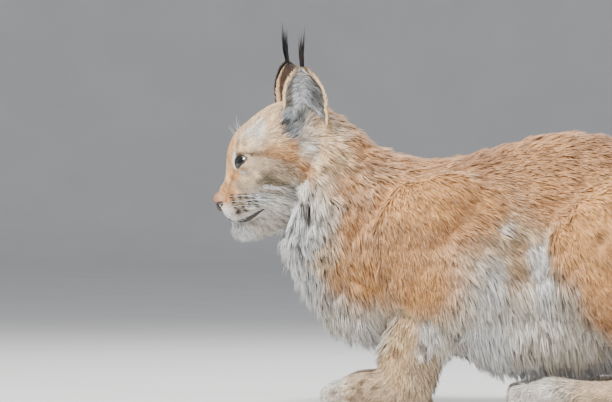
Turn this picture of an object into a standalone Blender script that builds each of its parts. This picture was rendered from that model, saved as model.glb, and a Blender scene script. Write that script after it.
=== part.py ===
"""A life-size Eurasian lynx, crouching, as a still museum model.

Metres, +Z up. The animal faces -X and its left side faces -Y, and it stands on
the plane z = 0. The flesh is lofted along the spine and the limbs, fused into one
skin, and parted by thin cuts into the pieces that a person would name.
"""

import math

import bmesh
import bpy
import numpy as np
from mathutils import Matrix, Vector
from mathutils.bvhtree import BVHTree

MM = 0.001
GAP = 0.3 * MM

# Driving sizes, in millimetres: a grown animal, low on its legs.
NOSE_HEIGHT = 295
HEAD_PIVOT = (98, 0, 383)
HEAD_YAW = math.radians(9)
HEAD_ROLL = math.radians(4.5)
EYE_CENTRE = (43, 27, 61)
EYE_RADIUS = 12.5
LID_THICKNESS = 2.6
EAR_ROOT = (122, 42, 118)
EAR_TIP = (116, 66, 199)
EAR_WIDTH = 29
EAR_DEPTH = 20
EAR_WALL = 3.5
TUFT_LENGTH = 52
FAR_LEG_SETBACK = 8

# Where the mesh is made: the grain of the fused skin, and what is kept of it.
GRAIN = 3.0
SMOOTHING_ROUNDS = 8
BODY_FILLET = 22
HEAD_FILLET = 5
SKIN_FILLET = 5
HEAD_GRAIN = 1.5
HEAD_TRIANGLES = 2600
SKIN_TRIANGLES = 6500

# The trunk's rings: the point on the back, the point on the belly, half the width.
TRUNK = (
    ((160, 442), (112, 268), 60),
    ((196, 412), (104, 236), 72),
    ((240, 378), (118, 207), 80),
    ((288, 367), (146, 164), 90),
    ((335, 363), (196, 115), 97),
    ((392, 377), (300, 98), 101),
    ((432, 387), (420, 96), 101),
    ((480, 400), (484, 94), 101),
    ((535, 402), (545, 95), 104),
    ((590, 392), (604, 104), 106),
    ((645, 373), (660, 120), 106),
    ((700, 342), (706, 140), 100),
    ((752, 296), (742, 176), 74),
)
# The long hair of the belly and chest, out to its tips, as rings like the trunk's.
BELLY_COAT = (
    ((360, 200), (342, 78), 62),
    ((420, 200), (420, 48), 76),
    ((500, 200), (500, 45), 80),
    ((570, 200), (570, 50), 78),
    ((640, 200), (634, 84), 62),
)
# Limb stations are (back, out, up, half the height, half the width), in millimetres.
TAIL = (
    (740, 0, 276, 30, 30),
    (785, 0, 262, 25, 26),
    (816, 0, 230, 24, 25),
    (834, 0, 190, 25, 26),
    (842, 0, 150, 25, 26),
    (842, 0, 122, 19, 20),
)
SHOULDER = (
    (396, 62, 308, 24, 20),
    (362, 72, 302, 36, 26),
    (322, 78, 284, 48, 31),
    (282, 80, 258, 56, 34),
    (252, 79, 232, 54, 34),
)
UPPER_ARM = (
    (252, 79, 234, 50, 34),
    (285, 84, 205, 56, 36),
    (325, 85, 178, 52, 36),
    (346, 82, 160, 42, 33),
)
TRICEPS = (
    (392, 72, 286, 28, 24),
    (374, 80, 248, 42, 30),
    (354, 84, 205, 46, 33),
    (342, 82, 165, 40, 32),
)
FOREARM = (
    (338, 80, 168, 44, 32),
    (308, 76, 130, 42, 33),
    (288, 72, 98, 41, 33),
    (279, 70, 68, 42, 34),
    (275, 69, 40, 40, 35),
)
FOREPAW = (
    (286, 68, 18, 22, 30),
    (262, 68, 24, 32, 34),
    (234, 68, 27, 29, 37),
    (210, 68, 28, 26, 39),
    (192, 68, 24, 22, 38),
)
THIGH = (
    (508, 110, 232, 36, 28),
    (540, 109, 238, 68, 38),
    (595, 103, 240, 94, 42),
    (655, 93, 240, 96, 44),
    (710, 80, 236, 80, 42),
    (746, 64, 234, 56, 36),
)
SHANK = (
    (518, 110, 226, 44, 31),
    (548, 110, 188, 48, 33),
    (582, 106, 142, 42, 32),
    (616, 101, 96, 35, 29),
    (644, 96, 56, 29, 26),
)
HINDFOOT = (
    (650, 94, 30, 30, 24),
    (620, 94, 23, 26, 25),
    (570, 94, 21, 23, 26),
    (520, 94, 21, 22, 28),
    (482, 94, 22, 22, 31),
    (462, 94, 21, 21, 33),
)
# Toes of one foot, from the inner to the outer: how far forward and sideways of the paw's middle.
TOES = ((0, -27), (11, -10), (11, 10), (0, 27))
TOE_RADII = (19, 10.5, 18)
FOREPAW_TOE_ROOT = (182, 68, 22)
HINDFOOT_TOE_ROOT = (450, 94, 20)

# Sections of the head, square to a line that dips HEAD_DIP from the back of the skull to
# the nose tip: how far back, then (out, up) from the middle of the top round to the chin.
HEAD_SECTIONS = (
    (4, ((0, 7), (4, 7), (8, 4), (9, 1), (9, -2), (7, -6), (5, -9), (3, -12), (2, -14), (1, -15), (0, -16))),
    (9, ((0, 9), (5, 8), (9, 6), (12, 2), (14, -3), (18, -10), (19, -18), (14, -26), (8, -29), (4, -31), (0, -32))),
    (15, ((0, 12), (6, 11), (10, 7), (14, 0), (21, -7), (26, -17), (23, -28), (16, -34), (12, -42), (7, -50), (0, -53))),
    (22, ((0, 16), (7, 15), (11, 9), (17, 0), (26, -9), (31, -20), (28, -31), (21, -38), (17, -50), (11, -61), (0, -65))),
    (30, ((0, 23), (8, 22), (13, 14), (20, 2), (29, -9), (34, -21), (32, -33), (25, -41), (21, -53), (14, -65), (0, -69))),
    (40, ((0, 36), (10, 34), (16, 22), (23, 8), (32, -6), (37, -20), (36, -34), (31, -45), (26, -56), (17, -67), (0, -71))),
    (50, ((0, 52), (13, 49), (21, 35), (27, 18), (36, 1), (41, -17), (41, -33), (37, -46), (31, -58), (19, -68), (0, -72))),
    (60, ((0, 63), (18, 60), (29, 48), (31, 30), (41, 9), (47, -12), (48, -31), (43, -46), (36, -59), (21, -69), (0, -73))),
    (72, ((0, 71), (22, 68), (38, 55), (40, 34), (49, 13), (54, -9), (55, -29), (50, -46), (41, -60), (23, -70), (0, -73))),
    (86, ((0, 77), (25, 74), (44, 60), (50, 38), (57, 15), (60, -7), (60, -28), (55, -46), (45, -61), (25, -70), (0, -73))),
    (102, ((0, 80), (27, 77), (48, 63), (56, 41), (61, 17), (63, -6), (62, -28), (57, -46), (46, -61), (26, -70), (0, -73))),
    (122, ((0, 83), (29, 80), (51, 66), (59, 43), (63, 18), (64, -6), (62, -28), (56, -46), (45, -61), (25, -70), (0, -73))),
    (146, ((0, 84), (30, 80), (52, 65), (59, 43), (62, 18), (62, -6), (60, -28), (54, -46), (43, -60), (24, -69), (0, -72))),
    (168, ((0, 77), (29, 73), (49, 58), (56, 38), (59, 15), (59, -7), (57, -27), (51, -44), (41, -57), (23, -65), (0, -68))),
    (190, ((0, 65), (27, 61), (45, 47), (52, 29), (54, 9), (54, -9), (52, -27), (46, -42), (37, -53), (21, -60), (0, -62))),
    (206, ((0, 50), (22, 46), (36, 35), (42, 20), (44, 4), (44, -10), (42, -25), (37, -37), (30, -46), (17, -51), (0, -53))),
)
HEAD_DIP = math.radians(30)
# Level, with the nose tip at the origin: centre and radii of each mass that is added.
HEAD_PAIRS = (
    ((124, 44, 108), (28, 17, 22)),
    ((50, 30, 79), (16, 12, 7)),
    ((27, 16, -8), (15, 16, 14)),
)
NOSE_BALLS = (
    ((9, 0, 9), (10, 10, 11)),
    ((11, 8, 3), (9, 7, 7)),
    ((11, -8, 3), (9, 7, 7)),
    ((11, 0, -5), (8, 6, 8)),
)
NOSTRIL = ((3.5, 7.0, 0.5), (5.5, 2.9, 2.6))
# The mouth is a groove. Seen from above it is followed round MOUTH_AXIS: (turn from ahead, height).
MOUTH_AXIS = 62
MOUTH = ((0, -21), (14, -23), (30, -23), (50, -21.5), (68, -17), (84, -10))
MOUTH_RADIUS = 1.8
LIP_RADIUS = 2.4
# The eyes look forward and out. Their opening is an almond, half wide and half high, turned in its plane.
GAZE = (-0.80, 0.58, 0.13)
EYE_OPENING = (12.4, 8.2)
EYE_SLANT = math.radians(32)
# The ear, from root to tip: how far up, half its width, how deep its cup is.
EAR_ROWS = (
    (-0.10, 27, 21),
    (0.10, 28.5, 20),
    (0.30, 27.5, 17),
    (0.50, 24, 13.5),
    (0.68, 18.5, 9.5),
    (0.83, 12, 6),
    (0.94, 6, 3.2),
    (1.0, 2.6, 1.6),
)
EAR_FACES = (-0.45, 0.87, 0.05)
# The cheek ruff, out to its tips.
RUFF = (
    (140, 50, 66, 20, 12),
    (142, 60, 30, 24, 13),
    (136, 62, -5, 24, 12),
    (130, 58, -36, 16, 9),
)
# The pieces that the skin is parted into: outline seen from the side, and how far out they start.
# The head's outline is level, with the nose tip at the origin, like the head itself.
HEAD_CUT = ((-80, -80), (84, -80), (97, -27), (150, -56), (168, 220), (-80, 220))
CUTS = (
    ("tail", ((797, 100), (900, 100), (900, 330), (797, 330)), -200),
    ("forepaw", ((120, -20), (333, -20), (333, 52), (120, 52)), 10),
    ("forearm", ((195, 52), (336, 52), (352, 100), (394, 150), (195, 150)), 38),
    ("upper_arm", ((195, 150), (394, 150), (425, 250), (440, 345), (330, 362), (225, 345), (180, 230)), 62),
    ("hindfoot", ((420, -20), (720, -20), (720, 50), (420, 50)), 54),
    ("shank", ((520, 50), (720, 50), (720, 110), (660, 200), (604, 236), (466, 162)), 70),
    ("thigh", ((466, 162), (604, 236), (660, 200), (720, 110), (830, 200), (780, 330), (640, 365), (520, 360),
               (440, 280)), 62),
)
NECK_CUT = ((-100, 0), (104, 200), (246, 384), (300, 600), (-100, 600))
CHEST_CUT = ((-100, -20), (430, -20), (430, 600), (-100, 600))

# How each piece is finished in the plain model.
FUR = ((0.52, 0.40, 0.28, 1), 0.85)
FINISHES = {
    "nose": ((0.55, 0.33, 0.26, 1), 0.45),
    "eye": ((0.03, 0.025, 0.02, 1), 0.1),
    "ear": ((0.42, 0.36, 0.30, 1), 0.85),
}


def clear_scene():
    for old in list(bpy.data.objects):
        bpy.data.objects.remove(old)


def smooth_rows(rows, per_span):
    """The rows of numbers, with more rows read along the curve that runs smoothly through them."""
    rows = np.array(rows, float)
    ends = np.vstack([2 * rows[0] - rows[1], rows, 2 * rows[-1] - rows[-2]])
    out = []
    for a, b, c, d in zip(ends, ends[1:], ends[2:], ends[3:]):
        for step in range(per_span):
            t = step / per_span
            bend = (2 * a - 5 * b + 4 * c - d) * t**2 + (3 * b - a - 3 * c + d) * t**3
            out.append(0.5 * (2 * b + (c - a) * t + bend))
    out.append(rows[-1])
    return np.array(out)


def rings_mesh(name, centres, ups, acrosses, sides, cap_rings=4):
    """A closed body of oval rings, rounded at both ends. Each ring has its centre and its two half axes."""
    fractions = np.sin(np.linspace(0, math.pi / 2, cap_rings + 1))[1:-1]
    parts = []
    poles = []
    for end, inner in ((0, 1), (-1, -2)):
        direction = centres[end] - centres[inner]
        direction /= np.linalg.norm(direction)
        reach = min(np.linalg.norm(ups[end]), np.linalg.norm(acrosses[end]))
        shrink = np.sqrt(1 - fractions**2)
        rings = [
            (centres[end] + direction * reach * f, ups[end] * s, acrosses[end] * s)
            for f, s in zip(fractions, shrink)
        ]
        parts.append(rings[::-1] if end == 0 else rings)
        poles.append(centres[end] + direction * reach)
    every = parts[0] + list(zip(centres, ups, acrosses)) + parts[1]
    angles = [2 * math.pi * i / sides for i in range(sides)]
    points = [poles[0]]
    for centre, up, across in every:
        points += [centre + up * math.sin(t) + across * math.cos(t) for t in angles]
    points.append(poles[1])
    last = len(points) - 1
    faces = [(0, 1 + (i + 1) % sides, 1 + i) for i in range(sides)]
    for first in range(1, last - sides, sides):
        for i in range(sides):
            j = (i + 1) % sides
            faces.append((first + i, first + j, first + sides + j, first + sides + i))
    faces += [(last, last - sides + i, last - sides + (i + 1) % sides) for i in range(sides)]
    mesh = bpy.data.meshes.new(name)
    mesh.from_pydata([tuple(p) for p in points], [], faces)
    work = bmesh.new()
    work.from_mesh(mesh)
    bmesh.ops.recalc_face_normals(work, faces=work.faces)
    work.to_mesh(mesh)
    work.free()
    return mesh


def trunk_mesh(rings, grow=0.0, sides=32, per_span=4):
    """A loft through rings that are given by their highest and lowest points and half their width."""
    rows = smooth_rows([(*top, *low, width) for top, low, width in rings], per_span) * MM
    top = np.column_stack([rows[:, 0], np.zeros(len(rows)), rows[:, 1]])
    low = np.column_stack([rows[:, 2], np.zeros(len(rows)), rows[:, 3]])
    half = (top - low) / 2
    half *= 1 + grow / np.linalg.norm(half, axis=1)[:, None]
    across = np.column_stack([np.zeros(len(rows)), rows[:, 4] + grow, np.zeros(len(rows))])
    return rings_mesh("trunk", (top + low) / 2, half, across, sides)


def limb_mesh(stations, side=1, setback=0, grow=0.0, sides=20, per_span=4):
    """A loft along the stations, each ring square to the way that the stations run."""
    rows = smooth_rows(stations, per_span) * MM
    rows[:, 0] += setback * MM
    rows[:, 1] *= -side
    along = np.gradient(rows[:, :3], axis=0)
    along /= np.linalg.norm(along, axis=1)[:, None]
    across = np.array((0.0, 1.0, 0.0)) - along * along[:, 1:2]
    across /= np.linalg.norm(across, axis=1)[:, None]
    up = np.cross(along, across)
    return rings_mesh(
        "limb", rows[:, :3], up * (rows[:, 3:4] + grow), across * (rows[:, 4:5] + grow), sides
    )


def ball_mesh(centre, radii, grow=0.0, detail=14):
    """An oval ball, in millimetres."""
    work = bmesh.new()
    bmesh.ops.create_uvsphere(work, u_segments=detail + 4, v_segments=detail, radius=1)
    size = Matrix.Diagonal([r * MM + grow for r in radii]).to_4x4()
    bmesh.ops.transform(work, matrix=Matrix.Translation(Vector(centre) * MM) @ size, verts=work.verts)
    mesh = bpy.data.meshes.new("ball")
    work.to_mesh(mesh)
    work.free()
    return mesh


def mirrored(point, side):
    """A point that is given on the left, on the left (1) or the right (-1), with left towards -Y."""
    return (point[0], -side * point[1], point[2])


def head_matrix():
    """Puts the head, made level with its nose tip at the origin, on the neck."""
    pivot = Vector(HEAD_PIVOT) * MM
    turn = Matrix.Rotation(HEAD_YAW, 4, "Z") @ Matrix.Rotation(HEAD_ROLL, 4, "X")
    nose = Matrix.Translation((0, 0, NOSE_HEIGHT * MM))
    return Matrix.Translation(pivot) @ turn @ Matrix.Translation(-pivot) @ nose


def head_loft(grow=0.0):
    """The head, lofted through its sections and mirrored, in millimetres before it is scaled."""
    rows = smooth_rows([(back, *sum(half, ())) for back, half in HEAD_SECTIONS], 3)
    rings = []
    for row in rows:
        half = row[1:].reshape(-1, 2)
        flip = np.array((-1, 1))
        half = smooth_rows(np.vstack([half[1] * flip, half, half[-2] * flip]), 3)[3:-3]
        ring = np.vstack([half, (half * flip)[-2:0:-1]])
        rings.append([(row[0], y, w) for y, w in ring])
    rings = np.array(rings)
    turned = rings.copy()
    turned[..., 0] = rings[..., 0] * math.cos(HEAD_DIP) - rings[..., 2] * math.sin(HEAD_DIP)
    turned[..., 1] = -rings[..., 1]
    turned[..., 2] = rings[..., 0] * math.sin(HEAD_DIP) + rings[..., 2] * math.cos(HEAD_DIP)
    return tube_of_rings("head", turned * MM)


def tube_of_rings(name, rings):
    """A closed body of rings of points, with a point at the middle of each end."""
    count, sides = rings.shape[:2]
    points = [rings[0].mean(axis=0), *rings.reshape(-1, 3), rings[-1].mean(axis=0)]
    faces = [(0, 1 + (i + 1) % sides, 1 + i) for i in range(sides)]
    for first in range(1, 1 + (count - 1) * sides, sides):
        for i in range(sides):
            j = (i + 1) % sides
            faces.append((first + i, first + j, first + sides + j, first + sides + i))
    last = len(points) - 1
    faces += [(last, last - sides + i, last - sides + (i + 1) % sides) for i in range(sides)]
    return outward(name, points, faces)


def outward(name, points, faces):
    mesh = bpy.data.meshes.new(name)
    mesh.from_pydata([tuple(p) for p in points], [], faces)
    work = bmesh.new()
    work.from_mesh(mesh)
    bmesh.ops.recalc_face_normals(work, faces=work.faces)
    work.to_mesh(mesh)
    work.free()
    return mesh


def tube_along(points, radius, sides=8):
    """A round tube along the points, in metres."""
    points = np.array(points)
    along = np.gradient(points, axis=0)
    along /= np.linalg.norm(along, axis=1)[:, None]
    across = np.cross(along, (0.0, 0.0, 1.0))
    across /= np.linalg.norm(across, axis=1)[:, None]
    up = np.cross(across, along)
    angles = np.linspace(0, 2 * math.pi, sides, endpoint=False)[None, :, None]
    rings = points[:, None] + radius * MM * (across[:, None] * np.cos(angles) + up[:, None] * np.sin(angles))
    return tube_of_rings("tube", rings)


def mouth_line(mesh, lower=0.0, sink=0.0):
    """Points on the head's surface along the mouth, the given distance lower and further in."""
    tree = BVHTree.FromPolygons([v.co for v in mesh.vertices], [tuple(p.vertices) for p in mesh.polygons])
    turns = np.array([m[0] for m in MOUTH])
    heights = np.array([m[1] for m in MOUTH])
    line = []
    for turn in np.linspace(-MOUTH[-1][0], MOUTH[-1][0], 45):
        height = np.interp(abs(turn), turns, heights)
        a = math.radians(turn)
        ahead = Vector((-math.cos(a), math.sin(a), 0))
        middle = Vector((MOUTH_AXIS, 0, height - lower)) * MM
        hit = tree.ray_cast(middle + ahead * 0.2, -ahead)[0]
        deeper = sink * (1 + 1.5 * (turn / turns[-1]) ** 2)
        line.append(tuple(hit - ahead * deeper * MM))
    return line


def eye_frame(side):
    """The eye's middle, where it looks, and the two directions of its opening: outwards and up."""
    middle = Vector(mirrored(EYE_CENTRE, side)) * MM
    gaze = Vector(mirrored(GAZE, side)).normalized()
    out = gaze.cross(Vector((0, 0, 1))).normalized() * (1 if side == 1 else -1)
    if out.y * side > 0:
        out = -out
    up = gaze.cross(out)
    up = up if up.z > 0 else -up
    tilt_out = out * math.cos(EYE_SLANT) + up * math.sin(EYE_SLANT)
    tilt_up = up * math.cos(EYE_SLANT) - out * math.sin(EYE_SLANT)
    return middle, gaze, tilt_out, tilt_up


def eye_opening(side):
    """What is cut out between the lids: an almond that widens away from the eye's middle."""
    middle, gaze, out, up = eye_frame(side)
    rings = []
    for reach in (0.45, 1.0, 1.9):
        ring = []
        for i in range(24):
            t = 2 * math.pi * i / 24
            wide = math.cos(t) * EYE_OPENING[0]
            high = math.sin(t) * abs(math.sin(t)) ** 0.35 * EYE_OPENING[1]
            ring.append(middle + (out * wide + up * high) * MM * reach + gaze * EYE_RADIUS * MM * reach)
        rings.append([tuple(p) for p in ring])
    return tube_of_rings("opening", np.array(rings))


def ear_mesh(side):
    """An ear as a cupped sheet, made thick, with its root in the head."""
    root = Vector(EAR_ROOT)
    tip = Vector(EAR_TIP)
    up = (tip - root).normalized()
    faces_to = Vector(EAR_FACES)
    faces_to = (faces_to - up * faces_to.dot(up)).normalized()
    wide = up.cross(faces_to).normalized()
    rows = smooth_rows(EAR_ROWS, 2)
    outer, inner = [], []
    for level, width, depth in rows:
        base = root + (tip - root) * level
        for sheet, grow in ((outer, 0), (inner, EAR_WALL)):
            ring = []
            for t in np.linspace(-1, 1, 13):
                bow = (1 - t * t) ** 0.6
                thin = grow * (0.35 + 0.65 * bow)
                sideways = math.sin(t * math.pi / 2 * 0.98) * (width - thin * abs(t))
                back = -depth * bow + thin * (1 if abs(t) < 1 else 0)
                ring.append(base + wide * sideways + faces_to * back)
            sheet.append(ring)
    across = len(outer[0])
    points = [mirrored(p, side) for sheet in (outer, inner) for ring in sheet for p in ring]
    points = [tuple(c * MM for c in p) for p in points]
    count = len(rows)
    half = count * across
    faces = []
    for i in range(count - 1):
        for j in range(across - 1):
            a = i * across + j
            faces.append((a, a + 1, a + across + 1, a + across))
            faces.append((half + a, half + a + across, half + a + across + 1, half + a + 1))
        for j in (0, across - 1):
            a = i * across + j
            faces.append((a, a + across, half + a + across, half + a))
    for i in (0, count - 1):
        for j in range(across - 1):
            a = i * across + j
            faces.append((a, a + 1, half + a + 1, half + a))
    return outward("ear", points, faces)


def tuft_mesh(side):
    """The long hair at the tip of the ear, out to its end."""
    up = (Vector(EAR_TIP) - Vector(EAR_ROOT)).normalized()
    rows = []
    for t in np.linspace(-0.35, 1, 8):
        place = Vector(EAR_TIP) + up * TUFT_LENGTH * t + Vector((-3, -6, 4)) * max(t, 0) ** 2
        thick = 4.2 * (1 - max(t, 0)) ** 0.8 + 0.6
        rows.append((*place, thick, thick * 0.8))
    points = np.array([mirrored(r[:3], side) for r in rows]) * MM
    angles = np.linspace(0, 2 * math.pi, 8, endpoint=False)
    rings = [
        [(p[0] + r[3] * MM * math.cos(a), p[1] + r[4] * MM * math.sin(a), p[2]) for a in angles]
        for p, r in zip(points, rows)
    ]
    return tube_of_rings("tuft", np.array(rings))


def prism(outline, low, high, grow=0.0):
    """A block with the outline seen from the side, from low to high sideways, all grown outwards."""
    points = np.array(outline, float) * MM
    count = len(points)
    turned = np.roll(points, -1, 0) - points
    area = np.sum(points[:, 0] * np.roll(points[:, 1], -1) - points[:, 1] * np.roll(points[:, 0], -1))
    normals = np.column_stack([turned[:, 1], -turned[:, 0]]) * np.sign(area)
    normals /= np.linalg.norm(normals, axis=1)[:, None]
    before = np.roll(normals, 1, 0)
    points += grow * (normals + before) / (1 + np.sum(normals * before, axis=1))[:, None]
    low, high = low * MM - grow, high * MM + grow
    every = [(x, low, z) for x, z in points] + [(x, high, z) for x, z in points]
    faces = [tuple(range(count)), tuple(range(2 * count - 1, count - 1, -1))]
    faces += [(i, (i + 1) % count, count + (i + 1) % count, count + i) for i in range(count)]
    return outward("prism", every, faces)


def on_the_neck(meshes):
    for mesh in meshes:
        mesh.transform(head_matrix())
    return meshes


def toe_meshes(root, side, setback):
    x, out, up = root
    return [
        ball_mesh(mirrored((x - forward + setback, out + sideways, up), side), TOE_RADII)
        for forward, sideways in TOES
    ]


def joined(meshes, name):
    work = bmesh.new()
    for mesh in meshes:
        work.from_mesh(mesh)
    out = bpy.data.meshes.new(name)
    work.to_mesh(out)
    work.free()
    return out


def object_of(mesh, name, collection):
    made = bpy.data.objects.new(name, mesh)
    collection.objects.link(made)
    return made


def applied(obj):
    """The object as a plain mesh, with its modifiers worked in."""
    bpy.context.view_layer.update()
    graph = bpy.context.evaluated_depsgraph_get()
    mesh = bpy.data.meshes.new_from_object(obj.evaluated_get(graph))
    obj.modifiers.clear()
    obj.data = mesh
    return obj


def fused(meshes, name, collection, fillet, rounds, grain=GRAIN):
    """The meshes as one skin. Hollows tighter than the fillet are filled: it is swollen and shrunk back."""
    skin = object_of(joined(meshes, name), name, collection)
    for reach in (None, fillet, -fillet):
        if reach is not None:
            swell = skin.modifiers.new("swell", "DISPLACE")
            swell.strength = reach * MM
            swell.mid_level = 0
        remesh = skin.modifiers.new("fuse", "REMESH")
        remesh.mode = "VOXEL"
        remesh.voxel_size = grain * MM
        if reach is None or reach > 0:
            even = skin.modifiers.new("even", "SMOOTH")
            even.factor = 0.5
            even.iterations = 3
    soften = skin.modifiers.new("soften", "SMOOTH")
    soften.factor = 0.5
    soften.iterations = rounds
    return applied(skin)


def combined(obj, mesh, operation):
    """The object after one Boolean operation with a closed mesh."""
    other = object_of(mesh, "other", obj.users_collection[0])
    step = obj.modifiers.new("combine", "BOOLEAN")
    step.operation = operation
    step.object = other
    step.solver = "MANIFOLD"
    applied(obj)
    bpy.data.objects.remove(other)
    return obj


def copy_of(obj, name):
    made = object_of(obj.data.copy(), name, obj.users_collection[0])
    return made


def thinned(obj, triangles):
    """The object with about the given number of triangles."""
    now = sum(len(p.vertices) - 2 for p in obj.data.polygons)
    thin = obj.modifiers.new("thin", "DECIMATE")
    thin.ratio = min(1.0, triangles / now)
    return applied(obj)


def largest_shell(obj):
    """The object with only its largest closed surface kept."""
    work = bmesh.new()
    work.from_mesh(obj.data)
    bmesh.ops.remove_doubles(work, verts=work.verts, dist=1e-6)
    left = set(work.faces)
    shells = []
    while left:
        shell = [left.pop()]
        for face in shell:
            for edge in face.edges:
                for near in edge.link_faces:
                    if near in left:
                        left.remove(near)
                        shell.append(near)
        shells.append(shell)
    shells.sort(key=len)
    lost = [face for shell in shells[:-1] for face in shell]
    bmesh.ops.delete(work, geom=lost, context="FACES")
    bmesh.ops.triangulate(work, faces=work.faces)
    work.to_mesh(obj.data)
    work.free()
    return obj


def body_skin(collection):
    """The trunk, the neck, the tail and the legs as one closed skin."""
    body = [trunk_mesh(TRUNK), limb_mesh(TAIL)]
    ends = []
    for side, setback in ((1, 0), (-1, FAR_LEG_SETBACK)):
        body += [limb_mesh(s, side, setback) for s in (SHOULDER, UPPER_ARM, TRICEPS, THIGH)]
        ends += [limb_mesh(s, side, setback) for s in (FOREARM, FOREPAW, SHANK, HINDFOOT)]
        ends += toe_meshes(FOREPAW_TOE_ROOT, side, setback)
        ends += toe_meshes(HINDFOOT_TOE_ROOT, side, setback)
    body = fused(body, "body", collection, BODY_FILLET, 12)
    head = on_the_neck([head_loft()])
    skin = fused([body.data, trunk_mesh(BELLY_COAT)] + head + ends, "skin", collection, SKIN_FILLET, SMOOTHING_ROUNDS)
    bpy.data.objects.remove(body)
    thinned(skin, SKIN_TRIANGLES)
    return combined(skin, prism(((-200, 0), (1200, 0), (1200, 900), (-200, 900)), -300, 300), "INTERSECT")


def head_skin(collection):
    """The head with its lids, lips, mouth and ruff, still level and with the front of the neck on it."""
    loft = head_loft()
    neck = trunk_mesh(TRUNK)
    neck.transform(head_matrix().inverted())
    balls = []
    for side in (1, -1):
        balls += [ball_mesh(mirrored(centre, side), radii) for centre, radii in HEAD_PAIRS]
        balls.append(ball_mesh(mirrored(EYE_CENTRE, side), [EYE_RADIUS + LID_THICKNESS] * 3, 0, 20))
        balls.append(limb_mesh(RUFF, side))
    lip = tube_along(mouth_line(loft, 3.2, 1.2), LIP_RADIUS)
    return fused([loft, lip, neck] + balls, "head", collection, HEAD_FILLET, 3, HEAD_GRAIN)


def head_pieces(collection):
    """The head, the nose, the eyes and the ears, still level."""
    head = head_skin(collection)
    groove = mouth_line(head.data, 0, -0.5)
    thinned(head, HEAD_TRIANGLES)
    skull = grown_copy(head)
    combined(head, prism(HEAD_CUT, -200, 200), "INTERSECT")
    nose = fused([ball_mesh(*ball) for ball in NOSE_BALLS], "nose", collection, 2, 3, 0.9)
    thinned(nose, 500)
    combined(head, grown_copy(nose), "DIFFERENCE")
    pieces = [head, nose]
    for side, word in ((1, "left"), (-1, "right")):
        combined(nose, ball_mesh(mirrored(NOSTRIL[0], side), NOSTRIL[1], 0, 8), "DIFFERENCE")
        combined(head, ball_mesh(mirrored(EYE_CENTRE, side), [EYE_RADIUS] * 3, GAP, 20), "DIFFERENCE")
        combined(head, eye_opening(side), "DIFFERENCE")
        eye = ball_mesh(mirrored(EYE_CENTRE, side), [EYE_RADIUS] * 3, 0, 14)
        pieces.append(object_of(eye, "eye_" + word, collection))
        ear = object_of(ear_mesh(side), "ear_" + word, collection)
        combined(ear, tuft_mesh(side), "UNION")
        pieces.append(combined(ear, skull, "DIFFERENCE"))
    combined(head, tube_along(groove, MOUTH_RADIUS, 6), "DIFFERENCE")
    return pieces


def grown_copy(obj):
    """The object's surface moved outwards by the gap, as a mesh."""
    mesh = obj.data.copy()
    for vertex, normal in zip(mesh.vertices, [n.vector.copy() for n in mesh.vertex_normals]):
        vertex.co += normal * GAP
    return mesh


def cut_off(rest, name, outline, low, high):
    """A piece of the rest inside a block, which is taken off the rest with a thin gap."""
    piece = copy_of(rest, name)
    combined(piece, prism(outline, low, high), "INTERSECT")
    combined(rest, prism(outline, low, high, GAP), "DIFFERENCE")
    return piece


def body_pieces(collection):
    """The skin of the body, parted."""
    rest = body_skin(collection)
    head_block = prism(HEAD_CUT, -200, 200, GAP)
    combined(rest, on_the_neck([head_block])[0], "DIFFERENCE")
    pieces = []
    for name, outline, out in CUTS:
        if out < 0:
            pieces.append(cut_off(rest, name, outline, out, -out))
            continue
        for side, word, setback in ((1, "left", 0), (-1, "right", FAR_LEG_SETBACK)):
            moved = [(x + setback, z) for x, z in outline]
            low, high = (-300, -out) if side == 1 else (out, 300)
            pieces.append(cut_off(rest, name + "_" + word, moved, low, high))
    pieces.append(cut_off(rest, "neck", NECK_CUT, -300, 300))
    pieces.append(cut_off(rest, "torso_chest", CHEST_CUT, -300, 300))
    rest.name = "torso_loins"
    return pieces + [rest]


def finished(pieces):
    """Each piece closed and coloured, with the lynx standing over the middle of its box."""
    corners = []
    for piece in pieces:
        largest_shell(piece)
        corners += [vertex.co.copy() for vertex in piece.data.vertices]
    low = [min(c[i] for c in corners) for i in range(3)]
    high = [max(c[i] for c in corners) for i in range(3)]
    shift = Matrix.Translation([-(low[0] + high[0]) / 2, -(low[1] + high[1]) / 2, -low[2]])
    for piece in pieces:
        piece.data.transform(shift)
        colour, roughness = FINISHES.get(piece.name.split("_")[0], FUR)
        material = bpy.data.materials.new(piece.name)
        material.use_nodes = True
        shader = material.node_tree.nodes["Principled BSDF"]
        shader.inputs["Base Color"].default_value = colour
        shader.inputs["Roughness"].default_value = roughness
        piece.data.materials.clear()
        piece.data.materials.append(material)


def main():
    clear_scene()
    lynx = bpy.data.collections.new("lynx")
    bpy.context.scene.collection.children.link(lynx)
    head = head_pieces(lynx)
    for piece in head:
        piece.data.transform(head_matrix())
    finished(head + body_pieces(lynx))


main()
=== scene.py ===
"""A life-size Eurasian lynx that stands still: skin, coat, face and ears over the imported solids."""
import math

import bpy
import numpy as np
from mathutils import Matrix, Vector
from mathutils.bvhtree import BVHTree
from mathutils.kdtree import KDTree


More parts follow.
